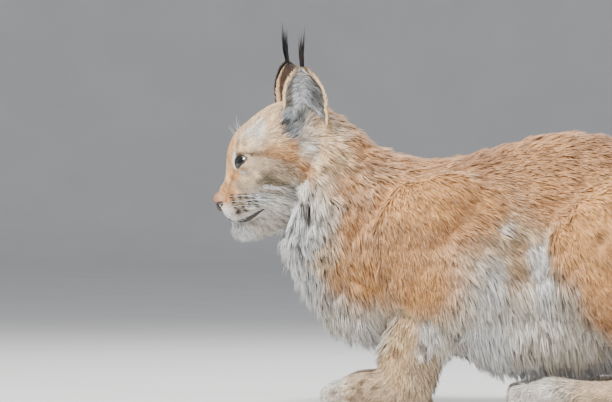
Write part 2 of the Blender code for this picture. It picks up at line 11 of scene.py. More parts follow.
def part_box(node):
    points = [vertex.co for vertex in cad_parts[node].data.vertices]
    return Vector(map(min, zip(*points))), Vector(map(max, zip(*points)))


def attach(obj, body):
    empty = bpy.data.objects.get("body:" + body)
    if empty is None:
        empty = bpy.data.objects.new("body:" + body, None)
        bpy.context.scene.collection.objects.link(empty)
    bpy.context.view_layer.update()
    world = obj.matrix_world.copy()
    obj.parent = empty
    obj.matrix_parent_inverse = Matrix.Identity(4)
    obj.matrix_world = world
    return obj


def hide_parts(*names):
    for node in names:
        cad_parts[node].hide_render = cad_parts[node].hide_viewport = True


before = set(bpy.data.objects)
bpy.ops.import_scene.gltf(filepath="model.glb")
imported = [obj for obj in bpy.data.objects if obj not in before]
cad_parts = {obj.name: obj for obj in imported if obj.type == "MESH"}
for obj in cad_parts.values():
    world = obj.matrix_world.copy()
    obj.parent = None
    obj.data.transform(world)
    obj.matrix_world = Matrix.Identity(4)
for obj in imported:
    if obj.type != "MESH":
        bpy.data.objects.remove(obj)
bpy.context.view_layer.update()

# Lengths are millimetres in the animal's own frame: x back from the nose, y to its right, z up.
# A point of the head is given level, with the tip of the nose at the origin.
MM = 0.001
NOSE_HEIGHT = 295
HEAD_PIVOT = np.array((98.0, 0, 383))
HEAD_YAW = math.radians(9)
HEAD_ROLL = math.radians(4.5)
# The eye's middle in the solids, and the middle of the one that shows between the lids.
EYE_CENTRE = (45, 27, 62)
EYE_SEEN = (41.5, 27.5, 62.5)
EYE_RADIUS = 14
# How far the skin keeps from the eye's middle round the opening and behind it, how far from there the eye
# counts, and the reach of the opening within which the skin is sunk, and is bare.
EYE_CLEARANCE = 15.4
EYE_HOLLOW = 11.5
NEAR_EYE = 30
SUNK_REACH = 1.22
BARE_REACH = 1.25
FAR_LEG_SETBACK = 8
# The skin: the grain of the flesh and of the whole, its triangles, and how far hollows are filled in each.
FLESH_GRAIN = 3.5
GRAIN = 3.0
SKIN_TRIANGLES = 190000
BODY_FILLET = 22
SKIN_FILLET = 4
# The lowest level of the skin, and hollows between toes: how deep, and half their width.
SOLE = 0.8
TOE_DEPTH = 4.2
TOE_WIDTH = 3.2
# The coat: tufts in all, the most and fewest in a piece, the length from which hair counts as long, and
# tufts in a clump.
TUFTS = 128000
TUFTS_A_PIECE = 12000
FEWEST_TUFTS = 20
LONG = 30
CLUMP = 9
# The rings of a blade: how far along it, and what share of its width.
LONG_RINGS = ((0, 0.8), (0.4, 1.0), (0.75, 0.7))
SHORT_RINGS = ((0, 0.85), (0.45, 1.0))
EAR_RINGS = ((0, 0.85), (0.5, 1.0))
# Hair's sag: none up to a length, then rising over the next length to the most. Then a clump's pull, which
# rises with length between two bounds.
SAG_FROM = 16
SAG_OVER = 40
SAG_MOST = 0.8
PULL_LENGTH = 60
PULL_BOUNDS = (0.1, 0.75)
# Tufts of one ear: on its back, in its cup, along each edge, and in the pencil at its tip.
EAR_BACK_TUFTS = 3000
EAR_CUP_TUFTS = 2400
EAR_EDGE_TUFTS = 420
PENCIL_TUFTS = 80
# No hair grows within these level bounds of the nose leather: back, out, lowest and highest. Nor does it this
# close to the mouth, in front of the given place and behind it.
NOSE_BARE = (14, 13, -11, 18)
LIP_BARE = (3.0, 5.0)
LIP_FRONT = 32
# A blade's swing to the side, how much steeper it leaves the skin and how much flatter it ends, in radians.
SWING = 0.20
RISE = 0.22
FALL = 0.16
# Hair further out than the limit is drawn in to a share of what is beyond it. None goes under the floor.
SIDE_LIMIT = 144
SIDE_SHARE = 0.45
HAIR_FLOOR = 0.4
# Hair's colour: how much it varies, the painted shade at the root, deep in the coat, and its rise, and shares with
# pale and frosted tips.
TUFT_SPREAD = 0.24
ROOT_PAINTED_SHADE = 0.56
ROOT_RISE = 0.44
PALE_TIPS = 0.42
FROSTED = 0.30
# Wavers: strength, stretch along the animal, size and seed. Those of the skin under long hair, of the coat's
# shade, and of the streaks on the head. Then the size, reach and seeds of the waver that shifts the colours.
SKIN_WAVES = ((2.4, 1, 15, 41), (1.4, 1, 7, 43))
SHADE_WAVES = ((0.15, 1, 24, 9), (0.18, 1, 8, 19))
STREAK_WAVES = ((0.30, 0.3, 4.5, 21), (0.24, 0.4, 2.4, 31))
DRIFT_SIZE = 14
DRIFT = 5
DRIFT_SEEDS = (3, 5, 7)
HEAD_REACH = 175
# The unwrap of the coat: its rows, the first of the ears' rows, the margin and span along a row and across
# one, the length that counts as a whole row, a full turn, and the radius of a blade's patch.
STRIP_ROWS = 10
EAR_ROW = 8.1
STRIP_MARGIN = 0.02
STRIP_SPAN = 0.96
ROW_MARGIN = 0.1
ROW_SPAN = 0.8
ROW_LENGTH = 400
FULL_TURN = 6.2832
PATCH = 0.0015
SEED = 11

# The trunk: (back, up) of the top and of the underside of each ring, and half the width.
TRUNK = (
    ((162, 436), (112, 268), 57),
    ((196, 412), (104, 236), 72),
    ((240, 378), (118, 207), 80),
    ((288, 367), (146, 164), 90),
    ((335, 363), (196, 115), 97),
    ((392, 377), (300, 98), 101),
    ((432, 387), (420, 96), 101),
    ((480, 400), (484, 94), 101),
    ((535, 402), (545, 95), 104),
    ((590, 392), (604, 104), 106),
    ((645, 373), (660, 120), 106),
    ((700, 342), (706, 140), 100),
    ((752, 296), (742, 176), 74),
)
BELLY = (
    ((338, 200), (320, 98), 54),
    ((420, 200), (420, 76), 70),
    ((500, 200), (500, 74), 74),
    ((570, 200), (570, 78), 70),
    ((640, 200), (634, 98), 56),
)
# Limbs and tail: (back, out, up, half the height, half the width) of each ring.
TAIL = (
    (740, 0, 276, 30, 30),
    (785, 0, 262, 25, 26),
    (816, 0, 230, 24, 25),
    (834, 0, 190, 25, 26),
    (842, 0, 150, 25, 26),
    (842, 0, 122, 19, 20),
)
SHOULDER = (
    (396, 62, 308, 24, 20),
    (362, 72, 302, 36, 26),
    (322, 78, 284, 48, 31),
    (282, 80, 258, 56, 34),
    (252, 79, 232, 54, 34),
)
UPPER_ARM = (
    (252, 79, 234, 50, 34),
    (285, 84, 205, 56, 36),
    (325, 85, 178, 52, 36),
    (346, 82, 160, 42, 33),
)
TRICEPS = (
    (392, 72, 286, 28, 24),
    (374, 80, 248, 42, 30),
    (354, 84, 205, 46, 33),
    (342, 82, 165, 40, 32),
)
FOREARM = (
    (338, 80, 168, 44, 32),
    (308, 76, 130, 42, 33),
    (288, 72, 98, 41, 33),
    (279, 70, 68, 42, 34),
    (275, 69, 40, 40, 35),
)
FOREPAW = (
    (286, 68, 18, 22, 30),
    (262, 68, 24, 32, 34),
    (234, 68, 27, 29, 37),
    (210, 68, 28, 26, 39),
    (192, 68, 24, 22, 38),
)
THIGH = (
    (508, 110, 232, 36, 28),
    (540, 109, 238, 68, 38),
    (595, 103, 240, 94, 42),
    (655, 93, 240, 96, 44),
    (710, 80, 236, 80, 42),
    (746, 64, 234, 56, 36),
)
SHANK = (
    (518, 110, 226, 44, 31),
    (548, 110, 188, 48, 33),
    (582, 106, 142, 42, 32),
    (616, 101, 96, 35, 29),
    (644, 96, 56, 29, 26),
)
HINDFOOT = (
    (650, 94, 30, 30, 24),
    (620, 94, 23, 26, 25),
    (570, 94, 21, 23, 26),
    (520, 94, 21, 22, 28),
    (482, 94, 22, 22, 31),
    (462, 94, 21, 21, 33),
)
TOES = ((0, -27), (11, -10), (11, 10), (0, 27))
TOE_RADII = (19, 10.5, 18)
FOREPAW_TOE_ROOT = (182, 68, 22)
HINDFOOT_TOE_ROOT = (450, 94, 20)

# Sections of the head, square to a line that dips from the back of the skull to the nose:
# how far back, then (out, up) from the middle of the top round to the chin.
HEAD_SECTIONS = (
    (4, ((0, 7), (4, 7), (8, 4), (9, 1), (9, -2), (7, -6),
          (5, -9), (3, -12), (2, -14), (1, -15), (0, -16))),
    (9, ((0, 9), (5, 8), (9, 6), (12, 2), (14, -3), (18, -10),
          (19, -18), (14, -26), (8, -29), (4, -31), (0, -32))),
    (15, ((0, 12), (6, 11), (10, 7), (14, 0), (21, -7), (26, -17),
          (23, -28), (16, -34), (12, -42), (7, -50), (0, -53))),
    (22, ((0, 16), (7, 15), (11, 9), (17, 0), (26, -9), (31, -20),
          (28, -31), (21, -38), (17, -50), (11, -61), (0, -65))),
    (30, ((0, 23), (8, 22), (13, 14), (20, 2), (29, -9), (34, -21),
          (32, -33), (25, -41), (21, -53), (14, -65), (0, -69))),
    (40, ((0, 36), (10, 34), (16, 22), (23, 8), (32, -6), (37, -20),
          (36, -34), (31, -45), (26, -56), (17, -67), (0, -71))),
    (50, ((0, 52), (13, 49), (21, 35), (27, 18), (36, 1), (41, -17),
          (41, -33), (37, -46), (31, -58), (19, -68), (0, -72))),
    (60, ((0, 63), (18, 60), (29, 48), (31, 30), (41, 9), (47, -12),
          (48, -31), (43, -46), (36, -59), (21, -69), (0, -73))),
    (72, ((0, 71), (22, 68), (38, 55), (40, 34), (49, 13), (54, -9),
          (55, -29), (50, -46), (41, -60), (23, -70), (0, -73))),
    (86, ((0, 77), (25, 74), (44, 60), (50, 38), (57, 15), (60, -7),
          (60, -28), (55, -46), (45, -61), (25, -70), (0, -73))),
    (102, ((0, 80), (27, 77), (48, 63), (56, 41), (61, 17), (63, -6),
          (62, -28), (57, -46), (46, -61), (26, -70), (0, -73))),
    (122, ((0, 83), (29, 80), (51, 66), (59, 43), (63, 18), (64, -6),
          (62, -28), (56, -46), (45, -61), (25, -70), (0, -73))),
    (146, ((0, 84), (30, 80), (52, 65), (59, 43), (62, 18), (62, -6),
          (60, -28), (54, -46), (43, -60), (24, -69), (0, -72))),
    (168, ((0, 77), (29, 73), (49, 58), (56, 38), (59, 15), (59, -7),
          (57, -27), (51, -44), (41, -57), (23, -65), (0, -68))),
    (190, ((0, 65), (27, 61), (45, 47), (52, 29), (54, 9), (54, -9),
          (52, -27), (46, -42), (37, -53), (21, -60), (0, -62))),
    (206, ((0, 50), (22, 46), (36, 35), (42, 20), (44, 4), (44, -10),
          (42, -25), (37, -37), (30, -46), (17, -51), (0, -53))),
)
HEAD_DIP = math.radians(30)
# Level: centre and radii of the temples, brows, whisker pads, chin and sides of the bridge.
HEAD_PAIRS = (
    ((126, 40, 114), (26, 14, 22)),
    ((51, 31, 82), (17, 13, 8)),
    ((31, 17, -9), (17, 18, 15)),
    ((46, 5, -31), (16, 15, 15)),
    ((20, 4, 20), (14, 8, 12)),
)
RUFF = (
    (138, 50, 62, 18, 11),
    (138, 57, 30, 20, 11),
    (130, 57, 0, 18, 10),
    (124, 53, -20, 12, 8),
)
NOSE_BALLS = (
    ((11, 0, 8), (12, 10.5, 10.5)),
    ((12, 6.5, 3), (10, 8, 8)),
    ((12, -6.5, 3), (10, 8, 8)),
    ((12.5, 0, -3), (9, 6.5, 8)),
)
NOSTRIL = ((6.0, 8.6, -0.5), (6.5, 3.6, 3.6))
NOSTRIL_TAIL = ((9, 12.5, 3.5), (7, 4, 1.8))
# The mouth: how far back the axis of its arc is, then degrees round it and height. The lips stand proud.
MOUTH_AXIS = 62
LIP_PROUD = 1.2
MOUTH = ((0, -21), (14, -23), (30, -23), (50, -21.5), (68, -17), (84, -10), (98, -3))
# Where the eye looks, its opening's half width and height above and below, and the opening's slant.
GAZE = (-0.80, 0.58, 0.13)
EYE_OPENING = (16.0, 9.6, 4.6)
EYE_SLANT = math.radians(38)
EAR_ROOT = np.array((122.0, 42, 118))
EAR_TIP = np.array((116.0, 66, 199))
# The ear, from root to tip: how far up, half its width, how deep its cup is.
EAR_ROWS = (
    (-0.10, 27, 21),
    (0.10, 28.5, 20),
    (0.30, 27.5, 17),
    (0.50, 27, 14),
    (0.68, 23.5, 11),
    (0.83, 16.5, 7.5),
    (0.94, 9, 4.5),
    (1.0, 3.0, 1.8),
)
# The way the cup faces, how much further it reaches at the rear, and how thick the ear is.
EAR_FACES = (-0.45, 0.87, 0.05)
EAR_REAR = 1.3
EAR_WALL = 2.6

# The finishes of the coat, as red, green and blue on a screen. Some of them also serve for painted highlights and
# painted shade.
TAN = (0.77, 0.56, 0.37)
FAWN = (0.85, 0.61, 0.38)
SAND = (0.82, 0.71, 0.58)
PEACH = (0.90, 0.74, 0.56)
RUST = (0.66, 0.47, 0.32)
BROWN = (0.38, 0.26, 0.17)
OLIVE = (0.40, 0.36, 0.28)
DUN = (0.64, 0.56, 0.46)
GREY = (0.68, 0.69, 0.68)
SMOKE = (0.46, 0.48, 0.49)
CREAM = (0.89, 0.85, 0.79)
WHITE = (0.96, 0.96, 0.95)
BLACK = (0.07, 0.055, 0.05)

# The columns of the coat's table, as it is read.
HAIR_FIELDS = slice(0, 8)
HAIR_LENGTH = slice(0, 1)
SKIN_DEPTH = slice(3, 4)
DENSITY = 4
PAINT = slice(8, 11)
# How sharply the table's places part from each other, for hair's numbers and for colour.
FIELD_SHARPNESS = 4.0
PAINT_SHARPNESS = 4.6
NEAREST = 4.0
BATCH = 20000
# The coat at places of the body: (back, out, up), hair's length and width, degrees that it
# stands off the skin, how deep the skin lies, how dense the tufts are, way it is combed, colour.
BODY_COAT = (
    ((175, 45, 425), 28, 2.2, 34, 6, 20, (0.8, 0, -0.6), CREAM),
    ((212, 45, 389), 26, 2.2, 22, 6, 18, (0.8, 0, -0.6), TAN),
    ((183, 80, 330), 28, 2.3, 20, 6, 18, (0.55, 0, -0.83), TAN),
    ((200, 80, 270), 28, 2.3, 20, 6, 18, (0.5, 0, -0.85), TAN),
    ((152, 68, 232), 32, 2.3, 22, 5, 18, (0.5, 0, -0.85), SAND),
    ((178, 76, 215), 30, 2.3, 22, 5, 18, (0.5, 0, -0.85), TAN),
    ((215, 88, 200), 26, 2.2, 20, 5, 18, (0.5, 0, -0.85), FAWN),
    ((115, 35, 250), 38, 2.2, 28, 5, 20, (0.35, 0, -0.93), WHITE),
    ((135, 20, 200), 40, 2.3, 28, 5, 18, (0.3, 0, -0.95), WHITE),
    ((165, 25, 150), 42, 2.4, 26, 4, 17, (0.3, 0, -0.95), CREAM),
    ((215, 20, 110), 42, 2.4, 28, 3, 17, (0.7, 0, -0.7), WHITE),
    ((270, 45, 100), 40, 2.4, 28, 3, 16, (0.7, 0, -0.7), CREAM),
    ((300, 30, 370), 22, 2.1, 18, 6, 18, (1, 0, -0.05), TAN),
    ((380, 30, 380), 20, 2.1, 16, 6, 18, (1, 0, 0), RUST),
    ((450, 30, 395), 20, 2.1, 16, 6, 18, (1, 0, 0), TAN),
    ((600, 40, 390), 20, 2.1, 16, 6, 18, (1, 0, -0.1), RUST),
    ((700, 40, 330), 22, 2.2, 20, 6, 18, (0.8, 0, -0.6), TAN),
    ((270, 95, 305), 17, 2.0, 15, 4, 20, (0.4, 0, -0.9), FAWN),
    ((330, 100, 290), 17, 2.0, 15, 4, 20, (0.5, 0, -0.85), FAWN),
    ((270, 110, 225), 15, 1.9, 15, 4, 20, (0.2, 0, -0.97), TAN),
    ((300, 112, 180), 15, 1.9, 15, 4, 20, (0.15, 0, -0.98), FAWN),
    ((284, 104, 113), 13, 1.6, 20, 3, 24, (0, 0, -1), PEACH),
    ((284, 42, 113), 12, 1.6, 16, 3, 24, (0, 0, -1), CREAM),
    ((325, 80, 120), 36, 2.1, 30, 3, 22, (0.3, 0, -0.95), CREAM),
    ((262, 104, 70), 10, 1.5, 20, 2.6, 26, (-0.1, 0, -1), PEACH),
    ((300, 96, 62), 18, 1.7, 28, 2.6, 24, (0.2, 0, -1), SAND),
    ((225, 68, 56), 8, 1.4, 20, 2, 28, (-0.9, 0, -0.35), SAND),
    ((220, 106, 25), 8, 1.4, 20, 2, 28, (-0.7, 0.2, -0.5), SAND),
    ((172, 68, 20), 7, 1.3, 22, 1.6, 30, (-0.8, 0, -0.6), CREAM),
    ((371, 101, 285), 20, 2.1, 17, 6, 18, (0.85, 0, -0.5), TAN),
    ((415, 101, 230), 22, 2.1, 17, 6, 18, (0.8, 0, -0.6), SAND),
    ((480, 100, 310), 20, 2.1, 16, 6, 18, (0.95, 0, -0.3), TAN),
    ((400, 96, 165), 44, 2.5, 26, 5, 17, (0.25, 0, -0.97), CREAM),
    ((385, 75, 105), 50, 2.6, 27, 0, 16, (0.25, 0.1, -0.95), WHITE),
    ((450, 75, 100), 50, 2.6, 27, 0, 16, (0.25, 0.1, -0.95), CREAM),
    ((520, 75, 100), 48, 2.6, 27, 0, 16, (0.25, 0.1, -0.95), CREAM),
    ((430, 20, 76), 44, 2.6, 55, 0, 14, (0.4, 0, -0.9), WHITE),
    ((540, 20, 76), 44, 2.6, 55, 0, 14, (0.4, 0, -0.9), WHITE),
    ((480, 98, 165), 44, 2.5, 26, 4, 17, (0.25, 0, -0.97), CREAM),
    ((455, 101, 215), 28, 2.2, 18, 6, 18, (0.6, 0, -0.8), SAND),
    ((560, 142, 305), 18, 2.0, 15, 4, 18, (0.75, 0, -0.65), FAWN),
    ((620, 142, 250), 17, 2.0, 15, 4, 18, (0.6, 0, -0.8), TAN),
    ((515, 130, 240), 20, 2.1, 18, 4, 18, (0.5, 0, -0.85), FAWN),
    ((560, 135, 190), 16, 2.0, 14, 5, 18, (0.5, 0, -0.85), FAWN),
    ((590, 142, 215), 16, 2.0, 13, 6, 18, (0.6, 0, -0.8), TAN),
    ((545, 140, 265), 16, 2.0, 13, 6, 18, (0.6, 0, -0.8), FAWN),
    ((600, 60, 130), 24, 2.1, 22, 3, 18, (0.4, 0, -0.9), CREAM),
    ((745, 65, 240), 26, 2.3, 26, 4, 16, (0.3, 0, -0.95), TAN),
    ((730, 30, 190), 30, 2.3, 26, 4, 16, (0.3, 0, -0.95), CREAM),
    ((575, 130, 140), 13, 1.8, 16, 3, 20, (0.45, 0, -0.9), TAN),
    ((590, 75, 120), 13, 1.8, 16, 3, 20, (0.45, 0, -0.9), CREAM),
    ((645, 112, 70), 10, 1.6, 16, 2.5, 22, (0.2, 0, -0.98), FAWN),
    ((560, 110, 40), 8, 1.4, 18, 2, 24, (-0.9, 0, -0.3), SAND),
    ((455, 94, 20), 7, 1.3, 20, 1.6, 28, (-0.85, 0, -0.5), CREAM),
    ((780, 0, 285), 22, 2.2, 18, 4, 18, (0.8, 0, -0.6), TAN),
    ((830, 0, 215), 24, 2.2, 22, 4, 18, (0.3, 0, -0.95), TAN),
    ((842, 0, 175), 24, 2.2, 24, 4, 18, (0.05, 0, -1), RUST),
    ((842, 0, 158), 26, 2.2, 26, 4, 20, (0, 0, -1), BLACK),
    ((842, 0, 120), 26, 2.2, 30, 3, 22, (0, 0, -1), BLACK),
)
HEAD_COAT = (
    ((14, 11, 14), 3, 0.8, 12, 0.8, 95, (0.6, 0.4, 0.7), TAN),
    ((24, 4, 40), 4, 0.9, 12, 1.0, 90, (0.35, 0, 0.94), PEACH),
    ((24, 15, 45), 4, 0.9, 12, 1.0, 90, (0.4, 0.2, 0.9), FAWN),
    ((34, 3, 75), 5, 1.0, 13, 1.4, 75, (0.4, 0, 0.9), FAWN),
    ((22, 16, 20), 4, 0.9, 14, 1.0, 85, (0.6, 0.5, 0.5), TAN),
    ((34, 27, 28), 5, 1.0, 14, 1.2, 75, (0.75, 0.5, 0.2), DUN),
    ((30, 28, 8), 6, 1.0, 20, 1.5, 75, (0.75, 0.6, 0), DUN),
    ((48, 38, 0), 7, 1.1, 20, 1.6, 65, (0.85, 0.4, -0.1), CREAM),
    ((14, 8, -14), 4, 0.9, 20, 1.0, 80, (0.4, 0.3, -0.8), WHITE),
    ((36, 12, -40), 16, 1.3, 56, 1.5, 55, (0.6, 0, -0.8), WHITE),
    ((60, 30, -32), 18, 1.4, 44, 2, 42, (0.8, 0.1, -0.5), CREAM),
    ((76, 44, -14), 14, 1.5, 22, 2, 38, (0.85, 0.1, -0.45), CREAM),
    ((82, 15, -48), 22, 1.8, 30, 2, 30, (0.8, 0, -0.55), CREAM),
    ((62, 45, 12), 10, 1.3, 16, 1.8, 48, (0.9, 0.3, -0.15), GREY),
    ((46, 40, 62), 3, 0.8, 8, 0.6, 95, (0.85, 0.3, 0), SAND),
    ((44, 36, 44), 5, 1.0, 12, 1.0, 70, (0.85, 0.35, -0.1), SAND),
    ((60, 52, 58), 7, 1.1, 13, 1.4, 55, (0.95, 0.2, -0.1), SAND),
    ((48, 30, 90), 6, 1.0, 16, 1.4, 65, (0.7, 0.3, 0.5), PEACH),
    ((55, 34, 102), 7, 1.1, 16, 1.6, 55, (0.7, 0.2, 0.5), CREAM),
    ((52, 8, 105), 7, 1.1, 15, 1.8, 55, (0.6, 0, 0.8), PEACH),
    ((75, 8, 138), 9, 1.3, 16, 2.2, 42, (0.8, 0, 0.5), PEACH),
    ((82, 42, 118), 9, 1.3, 16, 2, 42, (0.85, 0, 0.4), PEACH),
    ((110, 15, 160), 12, 1.5, 18, 3, 32, (1, 0, 0.1), FAWN),
    ((80, 56, 88), 9, 1.3, 14, 2, 42, (0.95, 0, 0.1), PEACH),
    ((100, 62, 84), 12, 1.4, 14, 2.4, 36, (0.95, 0, 0), TAN),
    ((84, 61, 50), 12, 1.4, 14, 2.2, 40, (0.95, 0.1, -0.2), SAND),
    ((72, 55, 34), 12, 1.4, 15, 2.2, 42, (0.95, 0.15, -0.2), OLIVE),
    ((94, 62, 24), 16, 1.6, 16, 2.6, 36, (0.95, 0.15, -0.3), GREY),
    ((84, 56, 6), 16, 1.6, 18, 2.6, 36, (0.9, 0.15, -0.4), CREAM),
    ((104, 62, 108), 12, 1.4, 22, 2, 38, (0.6, 0, 0.7), SMOKE),
    ((98, 50, 126), 12, 1.4, 26, 2, 42, (0.6, 0, 0.75), SMOKE),
    ((114, 46, 128), 18, 1.5, 34, 2, 40, (0.1, 0, 1), GREY),
    ((144, 50, 118), 16, 1.6, 22, 3, 30, (0.9, 0, 0.1), PEACH),
    ((124, 66, 84), 18, 1.7, 18, 3, 30, (0.9, 0.1, -0.3), CREAM),
    ((118, 66, 56), 22, 1.8, 18, 3.4, 28, (0.8, 0.2, -0.6), TAN),
    ((118, 66, 30), 34, 2.0, 22, 1, 26, (0.6, 0.25, -0.8), CREAM),
    ((112, 66, -2), 42, 2.1, 26, 0, 26, (0.4, 0.25, -0.88), WHITE),
    ((134, 70, 10), 44, 2.2, 26, 0, 24, (0.4, 0.3, -0.88), CREAM),
    ((120, 60, -28), 44, 2.2, 28, 0, 24, (0.35, 0.25, -0.9), WHITE),
    ((150, 62, 30), 38, 2.2, 22, 2, 22, (0.5, 0.2, -0.85), SAND),
    ((150, 60, 80), 28, 2.1, 20, 4, 22, (0.8, 0.1, -0.6), PEACH),
    ((150, 30, 155), 16, 1.8, 20, 3, 26, (0.95, 0, -0.2), TAN),
    ((190, 30, 130), 24, 2.1, 24, 4, 22, (0.9, 0, -0.4), TAN),
)
# Markings of the head, level: (back, out, up) along the line, half its width, colour, strength. The two black ones
# at the ear's base are painted shade in the gap there.
HEAD_MARKS_AND_PAINTED_SHADE = (
    (((58, 50, 62), (84, 61, 57), (106, 65, 50)), 8.0, DUN, 0.60),
    (((50, 43, 30), (72, 56, 30), (92, 62, 28)), 6.0, DUN, 0.50),
    (((50, 44, 76), (66, 55, 77), (79, 60, 73), (98, 63, 68), (115, 65, 60)), 3.0, BROWN, 0.75),
    (((75, 58, 82), (98, 63, 78), (116, 65, 70)), 7.0, TAN, 0.60),
    (((27, 24, 74), (34, 31, 76), (43, 38, 77), (50, 43, 76)), 2.0, BLACK, 0.85),
    (((30, 24, 100), (28, 27, 84)), 2.0, BROWN, 0.6),
    (((25, 23, 74), (22, 20, 64), (27, 23, 54)), 1.9, WHITE, 0.90),
    (((33, 29, 49), (38, 34, 48)), 1.9, WHITE, 0.85),
    (((25, 20, 50), (21, 15, 30), (14, 16, 6)), 1.8, BROWN, 0.55),
    (((56, 47, 36), (70, 56, 40), (88, 62, 37), (103, 65, 30), (116, 68, 18)), 3.4, OLIVE, 0.60),
    (((56, 47, 22), (76, 57, 21), (94, 62, 19), (112, 66, 12)), 2.4, OLIVE, 0.60),
    (((60, 49, 48), (76, 58, 52), (96, 63, 50)), 2.4, OLIVE, 0.50),
    (((88, 62, 62), (112, 66, 46)), 3.0, BROWN, 0.50),
    (((62, 50, 30), (84, 60, 29), (102, 64, 24)), 1.6, WHITE, 0.70),
    (((117, 72, 20), (124, 82, 2), (126, 88, -14), (124, 86, -34)), 3.4, BLACK, 0.90),
    (((141, 70, 26), (144, 76, -8)), 3.5, BROWN, 0.6),
    # Painted shade in the gap at the ear's base: in front of it and round its root.
    (((90, 56, 120), (104, 62, 114), (118, 60, 116)), 3.4, BLACK, 0.75),
    (((116, 54, 124), (126, 56, 134), (134, 58, 122)), 6.0, BLACK, 0.80),
    (((70, 10, 122), (96, 12, 150), (120, 14, 162)), 2.2, BROWN, 0.35),
    (((66, 22, 116), (90, 26, 140)), 2.0, BROWN, 0.35),
)
# Level places of the dark spots that whiskers grow from, the upper rows first.
WHISKER_SPOTS = (
    (22, 20, 13), (31, 27, 14), (40, 34, 15), (49, 39, 15),
    (23, 24, 6), (32, 31, 8), (42, 36, 8), (51, 40, 7),
    (25, 30, -1), (35, 34, 0), (44, 37, 1), (54, 41, 0),
    (29, 31, -8), (39, 35, -7), (49, 39, -7),
)
WHISKER_DOT = (2.6, BLACK, 0.98)
WHISKERS = 9
BROW_HAIRS = 6
# Markings of the body, on both sides: lines, half width, colour, strength. The first three are the shoulder's
# painted light and shade: a painted highlight on its top, painted shade below that and in the crease at its rear.
# The seventh is a painted highlight along the haunch's front edge.
BODY_MARKS_AND_PAINTED_LIGHT = (
    # Painted highlight on the shoulder's top, painted shade below it, and painted shade in the crease at its rear.
    (((250, 95, 292), (300, 100, 316), (350, 100, 320), (392, 100, 300)), 15.0, FAWN, 0.60),
    (((268, 104, 262), (320, 105, 262), (368, 101, 250)), 12.0, RUST, 0.40),
    (((345, 100, 292), (372, 100, 282), (395, 100, 262)), 5.0, BROWN, 0.45),
    (((296, 104, 232), (330, 104, 226), (352, 102, 204)), 4.0, BROWN, 0.35),
    (((418, 100, 268), (400, 99, 234), (386, 96, 200)), 5.0, WHITE, 0.45),
    (((386, 96, 206), (380, 92, 165), (392, 90, 125)), 17.0, WHITE, 0.60),
    # Painted highlight along the lit front edge of the haunch.
    (((500, 122, 314), (480, 116, 282), (466, 110, 242)), 9.0, CREAM, 0.55),
    (((463, 104, 226), (470, 104, 180), (482, 100, 125)), 14.0, WHITE, 0.75),
    (((432, 101, 232), (430, 101, 190)), 12.0, TAN, 0.30),
    (((308, 102, 130), (303, 100, 92)), 9.0, WHITE, 0.60),
)
# Hollows between toes, on both sides. They are also painted darker, as painted shade in the creases.
TOE_CREASES = (
    ((158, 86.5, 12), (160, 86.5, 28), (172, 86.5, 38), (190, 86.5, 42)),
    ((149, 68, 12), (152, 68, 30), (164, 68, 40), (184, 68, 44)),
    ((192, 94, 42), (187, 102, 33), (187, 105, 20), (192, 105, 8)),
    ((216, 94, 48), (211, 101, 36), (212, 104, 22), (218, 104, 8)),
    ((428, 112.5, 12), (430, 112.5, 26), (440, 112.5, 35), (458, 112.5, 39)),
    ((419, 94, 12), (421, 94, 28), (432, 94, 38), (452, 94, 41)),
    ((456, 120, 40), (451, 127, 32), (451, 131, 20), (456, 131, 8)),
)
# Dark spots of the body, on both sides, and their radius.
BODY_SPOTS = (
    ((176, 103, 27), 3), ((200, 104, 18), 3), ((202, 102, 32), 3), ((232, 103, 34), 3), ((224, 98, 46), 3),
    ((262, 104, 150), 4.5), ((300, 108, 138), 4.5), ((272, 104, 118), 5), ((299, 102, 96), 4.5),
    ((262, 98, 88), 4.5), ((286, 60, 120), 5), ((280, 50, 90), 5), ((228, 78, 54), 3.5),
    ((203, 76, 46), 3), ((214, 96, 40), 3.5), ((190, 86, 34), 3), ((196, 58, 44), 3),
    ((560, 132, 172), 6), ((592, 132, 142), 5.5), ((556, 128, 122), 5), ((606, 126, 100), 5),
    ((540, 110, 42), 4), ((500, 108, 40), 3.5), ((580, 112, 42), 4), ((470, 100, 38), 3),
    ((520, 130, 215), 6), ((548, 140, 250), 7), ((590, 142, 215), 7), ((640, 140, 190), 7),
)
# The brown and strength of the dark spots, also used for painted shade in the creases between toes. Then the width
# of that painted shade.
SPOT_AND_CREASE_SHADE_PAINT = (BROWN, 0.65)
CREASE_SHADE_WIDTH = 2.2
# Muscle that stands out under the coat: middle (back, up), radii, height.
RELIEF = (
    ((330, 236), (94, 104), 12.0),
    ((592, 232), (108, 108), 5.0),
)


# Shapes

def smooth_rows(rows, per_span):
    """Rows along the cubic curve through the given rows, its slope at each being half the step across it."""
    rows = np.asarray(rows, float)
    ends = np.vstack([2 * rows[0] - rows[1], rows, 2 * rows[-1] - rows[-2]])
    a, b, c, d = (ends[i:len(ends) - 3 + i, None] for i in range(4))
    t = (np.arange(per_span) / per_span)[None, :, None]
    bend = (2 * a - 5 * b + 4 * c - d) * t**2 + (3 * b - a - 3 * c + d) * t**3
    out = 0.5 * (2 * b + (c - a) * t + bend)
    return np.vstack([out.reshape(-1, rows.shape[1]), rows[-1:]])


def unit(vectors):
    """Each vector divided by its length."""
    return vectors / np.maximum(np.linalg.norm(vectors, axis=-1, keepdims=True), 1e-9)


def turned_out(points, faces):
    """Triangles whose volume, a sixth of the sum of their triple products, comes out positive."""
    a, b, c = (points[faces[:, i]] for i in range(3))
    volume = np.sum(a * np.cross(b, c))
    return faces if volume > 0 else faces[:, ::-1]


